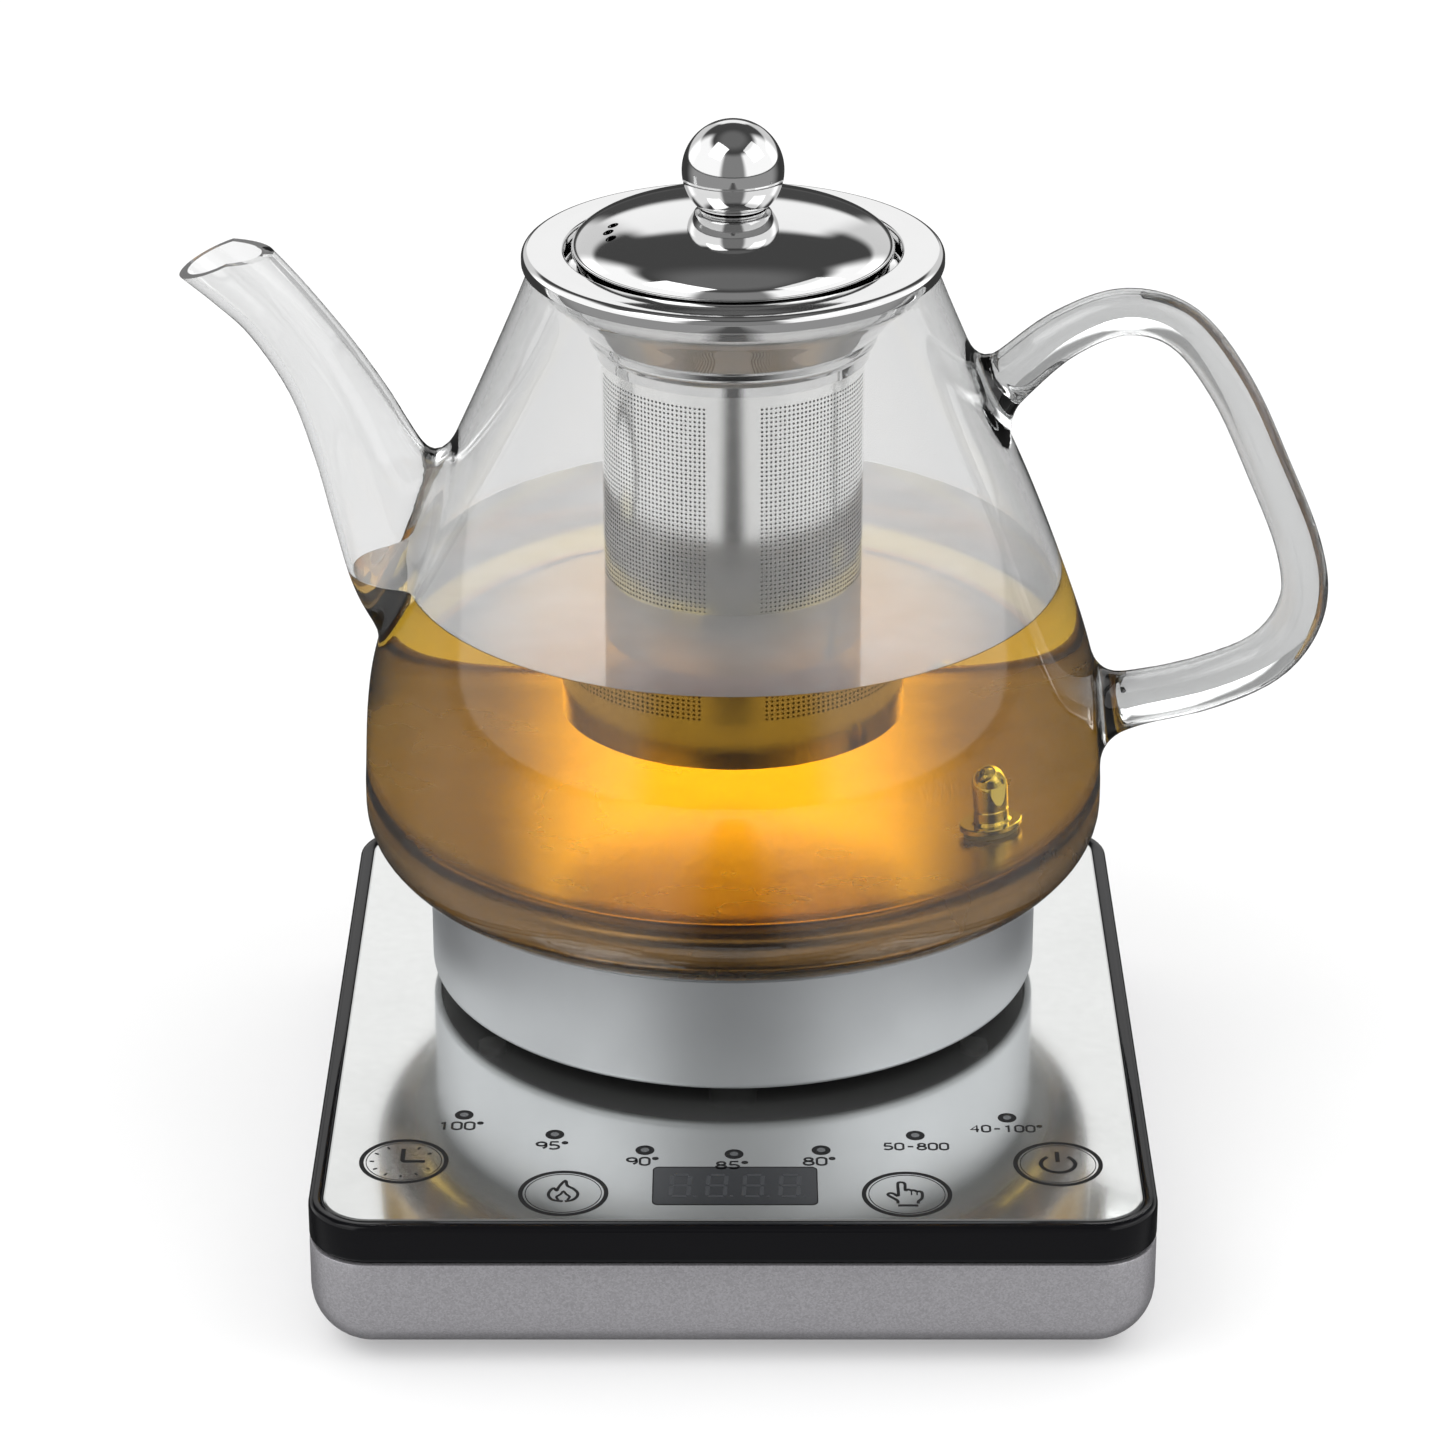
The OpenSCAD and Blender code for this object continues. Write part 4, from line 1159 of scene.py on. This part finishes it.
def glass_material():
    """Clear borosilicate: slightly uneven from being blown, faintly grey where it is seen edge on."""
    paint = Paint("clear_glass", base_color=(1, 1, 1), roughness=0.0, ior=1.47, transmission_weight=1.0)
    paint.bump(paint.noise(paint.place((1, 1, 0.45)), 22, 1), 0.0003, 0.04)
    paint.absorb((0.36, 0.37, 0.37), 115.0)
    return paint.mat


def tea_material():
    paint = Paint("tea", base_color=(1, 1, 1), roughness=0.0, ior=1.333, transmission_weight=1.0)
    paint.smudge(paint.place(), 30, 1, 0.0, 0.003)
    paint.absorb((0.962, 0.818, 0.04), 34.0)
    return paint.mat


def painted_sheen_material():
    """Painted sheen: a half-clear, near-white sheet that stands in for the light the tea's flat surface
    throws back.
    """
    paint = Paint("painted_tea_sheen", base_color=(0.95, 0.95, 0.95), roughness=0.06, ior=1.333)
    paint.feed(paint.spread(paint.noise(paint.place(), 30, 3), 0.3, 0.7, 0.55, 0.72), "Alpha")
    return paint.mat


def black_gloss_material():
    """Black gloss lacquer with a faint orange-peel."""
    paint = Paint("black_gloss", base_color=(0.004, 0.004, 0.005), roughness=0.09, specular_ior_level=0.22)
    where = paint.place()
    paint.smudge(where, 60, 3, 0.07, 0.12)
    paint.bump(paint.noise(where, 240, 2), 0.00002)
    return paint.mat


def basket_material():
    """Brushed sheet, stained brown below the tea's surface."""
    paint = Paint("basket_steel", metallic=1.0, roughness=0.2)
    paint.smudge(paint.place(), 38, 4, 0.12, 0.2)
    paint.bump(paint.noise(paint.polar(3, 900, 4200), 1, 3, 0.7), 0.000003)
    clean = paint.spread(paint.parts()[2], (TEA_Z - 1) * MM, TEA_Z * MM, 0.0, 1.0)
    paint.tint(clean, (0.46, 0.39, 0.33), (0.9, 0.9, 0.89))
    return paint.mat


def panel_material():
    """Silver behind glass: nearly a mirror, with smudges and a few fine scratches."""
    paint = Paint("panel_glass", base_color=(0.74, 0.75, 0.74), metallic=0.92, roughness=0.13,
                  coat_weight=1.0, coat_roughness=0.03)
    where = paint.place()
    paint.smudge(where, 22, 5, 0.09, 0.16, 0.75, 0.6)
    paint.tint(paint.noise(where, 420, 2), (0.70, 0.71, 0.70), (0.76, 0.77, 0.76))
    return paint.mat


def silver_paint_material():
    """Satin metallic paint: fine flakes under a soft clear coat."""
    dark, light = (0.44, 0.43, 0.455), (0.58, 0.57, 0.60)
    paint = Paint("silver_paint", base_color=dark, metallic=0.7, roughness=0.38, coat_weight=0.25,
                  coat_roughness=0.2)
    where = paint.place()
    flakes = paint.node("ShaderNodeTexVoronoi", {"Vector": where, "Scale": 3200.0}).outputs["Color"]
    paint.tint(paint.node("ShaderNodeSeparateColor", {0: flakes}).outputs[0], dark, light)
    paint.smudge(where, 45, 3, 0.33, 0.4)
    paint.bump(paint.noise(where, 2400, 2), 0.00001)
    return paint.mat


def steel_plate_material():
    """The heating plate: bright steel with turning marks in the middle, and painted shade that turns its
    rounded rim dark brown.
    """
    paint = Paint("plate_steel", base_color=(0.6, 0.5, 0.36), metallic=1.0, roughness=0.24)
    paint.bump(paint.noise(paint.polar(6, 5200, 5200), 1, 2, 0.6), 0.00002)
    cloud = paint.smudge(paint.place(), 55, 4, 0.2, 0.3)
    # Painted shade: the colour turns dark brown from 58 to 64 mm out, over the rim where it turns down
    middle = paint.spread(paint.reach(paint.parts()), 0.058, 0.064, 1.0, 0.0)
    paint.tint(paint.math("MULTIPLY", paint.spread(cloud, 0.3, 0.7, 0.75, 1.0), middle),
               (0.26, 0.15, 0.06), (0.74, 0.62, 0.40))
    return paint.mat


# Colour, roughness, the depth and scale of the surface's texture, clear coat
PLASTICS = {
    "black_rubber": ((0.02, 0.02, 0.02), 0.65, 0.00008, 1500),
    "circuit_board": ((0.02, 0.12, 0.05), 0.35, 0.00003, 900),
    "display_black": ((0.012, 0.013, 0.016), 0.12, 0.000004, 3000, 0.6),
    "lamp_lens": ((0.10, 0.105, 0.11), 0.25, 0.00002, 1200, 0.5),
    "dim_digit": ((0.05, 0.053, 0.058), 0.3, 0.000004, 3000),
    "black_case": ((0.02, 0.02, 0.022), 0.5, 0.00005, 1200),
    "winding_tape": ((0.6, 0.45, 0.05), 0.45, 0.00004, 700),
    "fuse_glass": ((0.7, 0.68, 0.6), 0.3, 0.00003, 600),
    "coupler_plastic": ((0.015, 0.015, 0.016), 0.42, 0.00005, 1400),
    "clear_silicone": ((0.6, 0.59, 0.56), 0.4, 0.00003, 500),
    "panel_print": ((0.004, 0.004, 0.005), 0.6, 0.00001, 2000),
}

# Colour, roughness and how far it wanders, then the depth of the marks and their scale round, out and up
METALS = {
    "plated_screw": ((0.7, 0.7, 0.72), 0.3, 0.05),
    "spring_copper": ((0.85, 0.5, 0.3), 0.25, 0.05),
    "raw_aluminium": ((0.75, 0.76, 0.77), 0.42, 0.08, 0.00003, 4, 900, 900),
    "contact_brass": ((0.85, 0.62, 0.28), 0.22, 0.05),
    "skirt_metal": ((0.66, 0.68, 0.70), 0.5, 0.03, 0.000006, 3, 1400, 5200),
    "element_steel": ((0.4, 0.37, 0.35), 0.4, 0.08),
    "polished_steel": ((0.76, 0.76, 0.76), 0.05, 0.018, 0.000001, 40, 3000, 3000),
}


OTHERS = {
    "silver_paint": silver_paint_material, "black_gloss": black_gloss_material,
    "panel_glass": panel_material, "clear_glass": glass_material, "plate_steel": steel_plate_material,
    "basket_steel": basket_material, "tea": tea_material, "painted_tea_sheen": painted_sheen_material,
}


def build_materials():
    made = {name: plastic(name, *args) for name, args in PLASTICS.items()}
    made.update({name: metal(name, *args) for name, args in METALS.items()})
    made.update({name: make() for name, make in OTHERS.items()})
    return made


# ---------------------------------------------------------------- light, floor and camera (m)

FLOOR_CORNERS = ((-6, -6), (6, -6), (6, 6), (-6, 6))
FLAG_HALF = 0.09
FLAG_REACH = (-1.1, -0.2)
LIGHT_AIM = (0, 0, 0.1)
LIGHT_SIZE = 0.8
CAMERA_LENS = 125.74
CAMERA_SHIFT = -0.0073
CAMERA_AWAY = 0.9634
CAMERA_UP = 0.4919              # above the kettle's lower edge
CAMERA_TILT = 65.5

class Sky(Graph):
    """The world's nodes. Angles are in degrees."""

    def ramp(self, value, low, high):
        """0 below low and 1 above high, softly; the other way round if low is above high."""
        start, end = (0.0, 1.0) if low <= high else (1.0, 0.0)
        return self.node("ShaderNodeMapRange", {
            "Value": value, "From Min": min(low, high), "From Max": max(low, high), "To Min": start,
            "To Max": end}, interpolation_type="SMOOTHSTEP").outputs[0]

    def area(self, first, *ramps):
        """The product of several ramps."""
        shape = self.ramp(*first)
        for other in ramps:
            shape = self.math("MULTIPLY", shape, self.ramp(*other))
        return shape

    def light(self, base, *terms):
        """An even light, and areas of more light: (strength, area)."""
        for strength, shape in terms:
            base = self.math("ADD", self.math("MULTIPLY", shape, strength), base)
        return base


def build_world():
    """White for the eye. What polished metal mirrors is a studio: soft boxes left and right, a dark
    slit between them, and a darker ceiling. What glass and tea bend into view is brighter behind."""
    world = bpy.data.worlds.new("studio")
    bpy.context.scene.world = world
    world.use_nodes = True
    world.node_tree.nodes.clear()
    sky = Sky(world.node_tree)
    ray = sky.node("ShaderNodeTexCoord").outputs["Generated"]
    along = sky.node("ShaderNodeSeparateXYZ", {0: ray}).outputs
    to_deg = 180 / math.pi
    # 0 towards the front, 180 towards the back
    aside = sky.math("MULTIPLY", sky.math("ABSOLUTE", sky.math(
        "ARCTAN2", along[0], sky.math("MULTIPLY", along[1], -1.0))), to_deg)
    height = sky.math("MULTIPLY", sky.math("ARCSINE", along[2]), to_deg)

    # What shiny things mirror
    side_box = sky.area((aside, 22, 34), (aside, 142, 120), (height, 56, 44))
    front_gap = sky.area((aside, 34, 22), (height, 56, 44))
    back_box = sky.area((aside, 164, 170), (height, 34, 30), (height, 11, 15))
    low_back = sky.area((aside, 100, 125), (aside, 170, 164), (height, 30, 24), (height, 1, 4))
    above = sky.light(0.07, (1.2, side_box), (0.2, front_gap), (1.05, back_box), (0.7, low_back),
                      (0.1, sky.ramp(height, 56, 75)))
    below = sky.light(0.05, (0.3, sky.ramp(aside, 128, 92)))
    horizon = sky.ramp(sky.math("ABSOLUTE", height), 1.6, 0.6)
    mirrored = sky.mix("FLOAT", horizon, sky.mix("FLOAT", sky.ramp(height, -1, 1), below, above), 0.1)
    # What is seen through glass and tea
    hot_strip = sky.area((aside, 158, 174), (height, 60, 40))
    flank = sky.area((aside, 50, 75), (aside, 135, 110))
    refracted = sky.light(0.03, (0.57, sky.ramp(aside, 16, 46)), (0.4, flank), (4.2, hot_strip),
                          (1.4, sky.ramp(height, 45, 65)))

    rays = sky.node("ShaderNodeLightPath").outputs
    light = sky.mix("FLOAT", rays["Is Glossy Ray"], 1.0, mirrored)
    light = sky.mix("FLOAT", rays["Is Transmission Ray"], light, refracted)
    shown = sky.node("ShaderNodeCombineColor", {0: light, 1: light, 2: light})
    back = sky.node("ShaderNodeBackground", {"Color": shown.outputs[0], "Strength": 1.0})
    sky.links.new(back.outputs[0], sky.node("ShaderNodeOutputWorld").inputs[0])


def build_floor():
    mesh = new_mesh("floor", [(x, y, 0) for x, y in FLOOR_CORNERS], [(0, 1, 2, 3)])
    floor = new_object("floor", mesh)
    floor.location.z = -0.2 * MM
    paint = Paint("floor", base_color=(0.74, 0.74, 0.74), roughness=0.8, emission_color=(1, 1, 1),
                  emission_strength=0.26, specular_ior_level=0.0)
    floor.visible_glossy = False
    mesh.materials.append(paint.mat)


def build_flag():
    """A dark strip in front of the camera's feet, out of its sight, for metal and glass to mirror."""
    verts = [(x, y, 0.5 * MM) for y in FLAG_REACH for x in (-FLAG_HALF, FLAG_HALF)]
    mesh = new_mesh("flag", verts, [(0, 1, 3, 2)])
    flag = new_object("flag", mesh)
    paint = Paint("flag", base_color=(0.04, 0.04, 0.04), roughness=1.0)
    x = paint.math("ABSOLUTE", paint.parts()[0])
    paint.feed(paint.spread(x, 0.03, FLAG_HALF, 0.9, 0.0), "Alpha")
    mesh.materials.append(paint.mat)
    flag.visible_camera = flag.visible_diffuse = flag.visible_shadow = False


def area_light(name, place, power):
    """A square soft light that looks at the kettle."""
    data = bpy.data.lights.new(name, "AREA")
    data.shape = "RECTANGLE"
    data.size = data.size_y = LIGHT_SIZE
    data.energy = power
    data.spread = math.pi
    light = new_object(name, data)
    light.location = place
    light.rotation_euler = (Vector(LIGHT_AIM) - Vector(place)).to_track_quat("-Z", "Y").to_euler()


def build_camera():
    data = bpy.data.cameras.new("camera")
    data.lens, data.sensor_width = CAMERA_LENS, 36
    data.shift_x = CAMERA_SHIFT
    data.clip_start, data.clip_end = 0.05, 30
    camera = new_object("camera", data)
    camera.location = (0, -CAMERA_AWAY, CAMERA_UP + KETTLE_Z * MM)
    camera.rotation_euler = (math.radians(CAMERA_TILT), 0, 0)
    bpy.context.scene.camera = camera


# ---------------------------------------------------------------- putting it together

NODE_SLOTS = {part["node"]: part["material_slot"] for part in frame["record"]["subparts"]
              if "material_slot" in part}


def wear(obj, slot, materials):
    obj.data.materials.clear()
    obj.data.materials.append(materials[slot])


def build():
    materials = build_materials()
    for name, obj in frame["nodes"].items():
        obj.data.materials.clear()
        obj.data.materials.append(materials[NODE_SLOTS[name]])

    def add(piece, body, slot, *nodes):
        wear(piece, slot, materials)
        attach(piece, body)
        if nodes:
            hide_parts(*nodes)

    jug, tea = make_jug()
    add(jug, "kettle", "clear_glass", "glass_body", "glass_spout", "glass_handle")
    tea = make_tea(tea)
    add(tea, "kettle", "tea")
    # A painted sheen, laid a hair above the tea's top
    painted_sheen = make_painted_sheen(tea)
    add(painted_sheen, "kettle", "tea")
    painted_sheen.data.materials[0] = materials["painted_tea_sheen"]
    add(make_skirt(), "kettle", "skirt_metal", "kettle_skirt")
    add(make_plate(), "kettle", "plate_steel", "heating_plate")
    add(make_probe(), "kettle", "polished_steel", "temperature_probe")
    for piece in make_basket():
        add(piece, "infuser", "basket_steel", "infuser_wall")
    add(make_basket_floor(), "infuser", "basket_steel", "infuser_base")
    add(make_rim(), "infuser", "polished_steel", "infuser_rim")
    add(make_dome(), "lid", "polished_steel", "lid_dome")
    ball, foot = make_knob()
    add(ball, "lid", "polished_steel", "knob_ball")
    add(foot, "lid", "polished_steel", "knob_collar")
    add(make_tray(), "base", "silver_paint", "base_shell")
    add(make_band(), "base", "black_gloss", "base_frame")
    add(make_panel(), "base", "panel_glass", "glass_panel")
    ink, rings, lenses = make_prints()
    add(ink, "base", "panel_print")
    add(rings, "base", "panel_print")
    add(lenses, "base", "lamp_lens")
    window, edge, digits = make_display()
    add(window, "base", "display_black")
    add(edge, "base", "panel_print")
    add(digits, "base", "display_black")
    digits.data.materials[0] = materials["dim_digit"]


build()
build_world()
build_floor()
build_flag()
area_light("key", (-0.7, -0.5, 1.3), 3.6)
area_light("fill", (0.9, -0.3, 1.1), 2.0)
build_camera()
bpy.context.scene.view_settings.view_transform = "Standard"
bpy.context.scene.view_settings.look = "None"
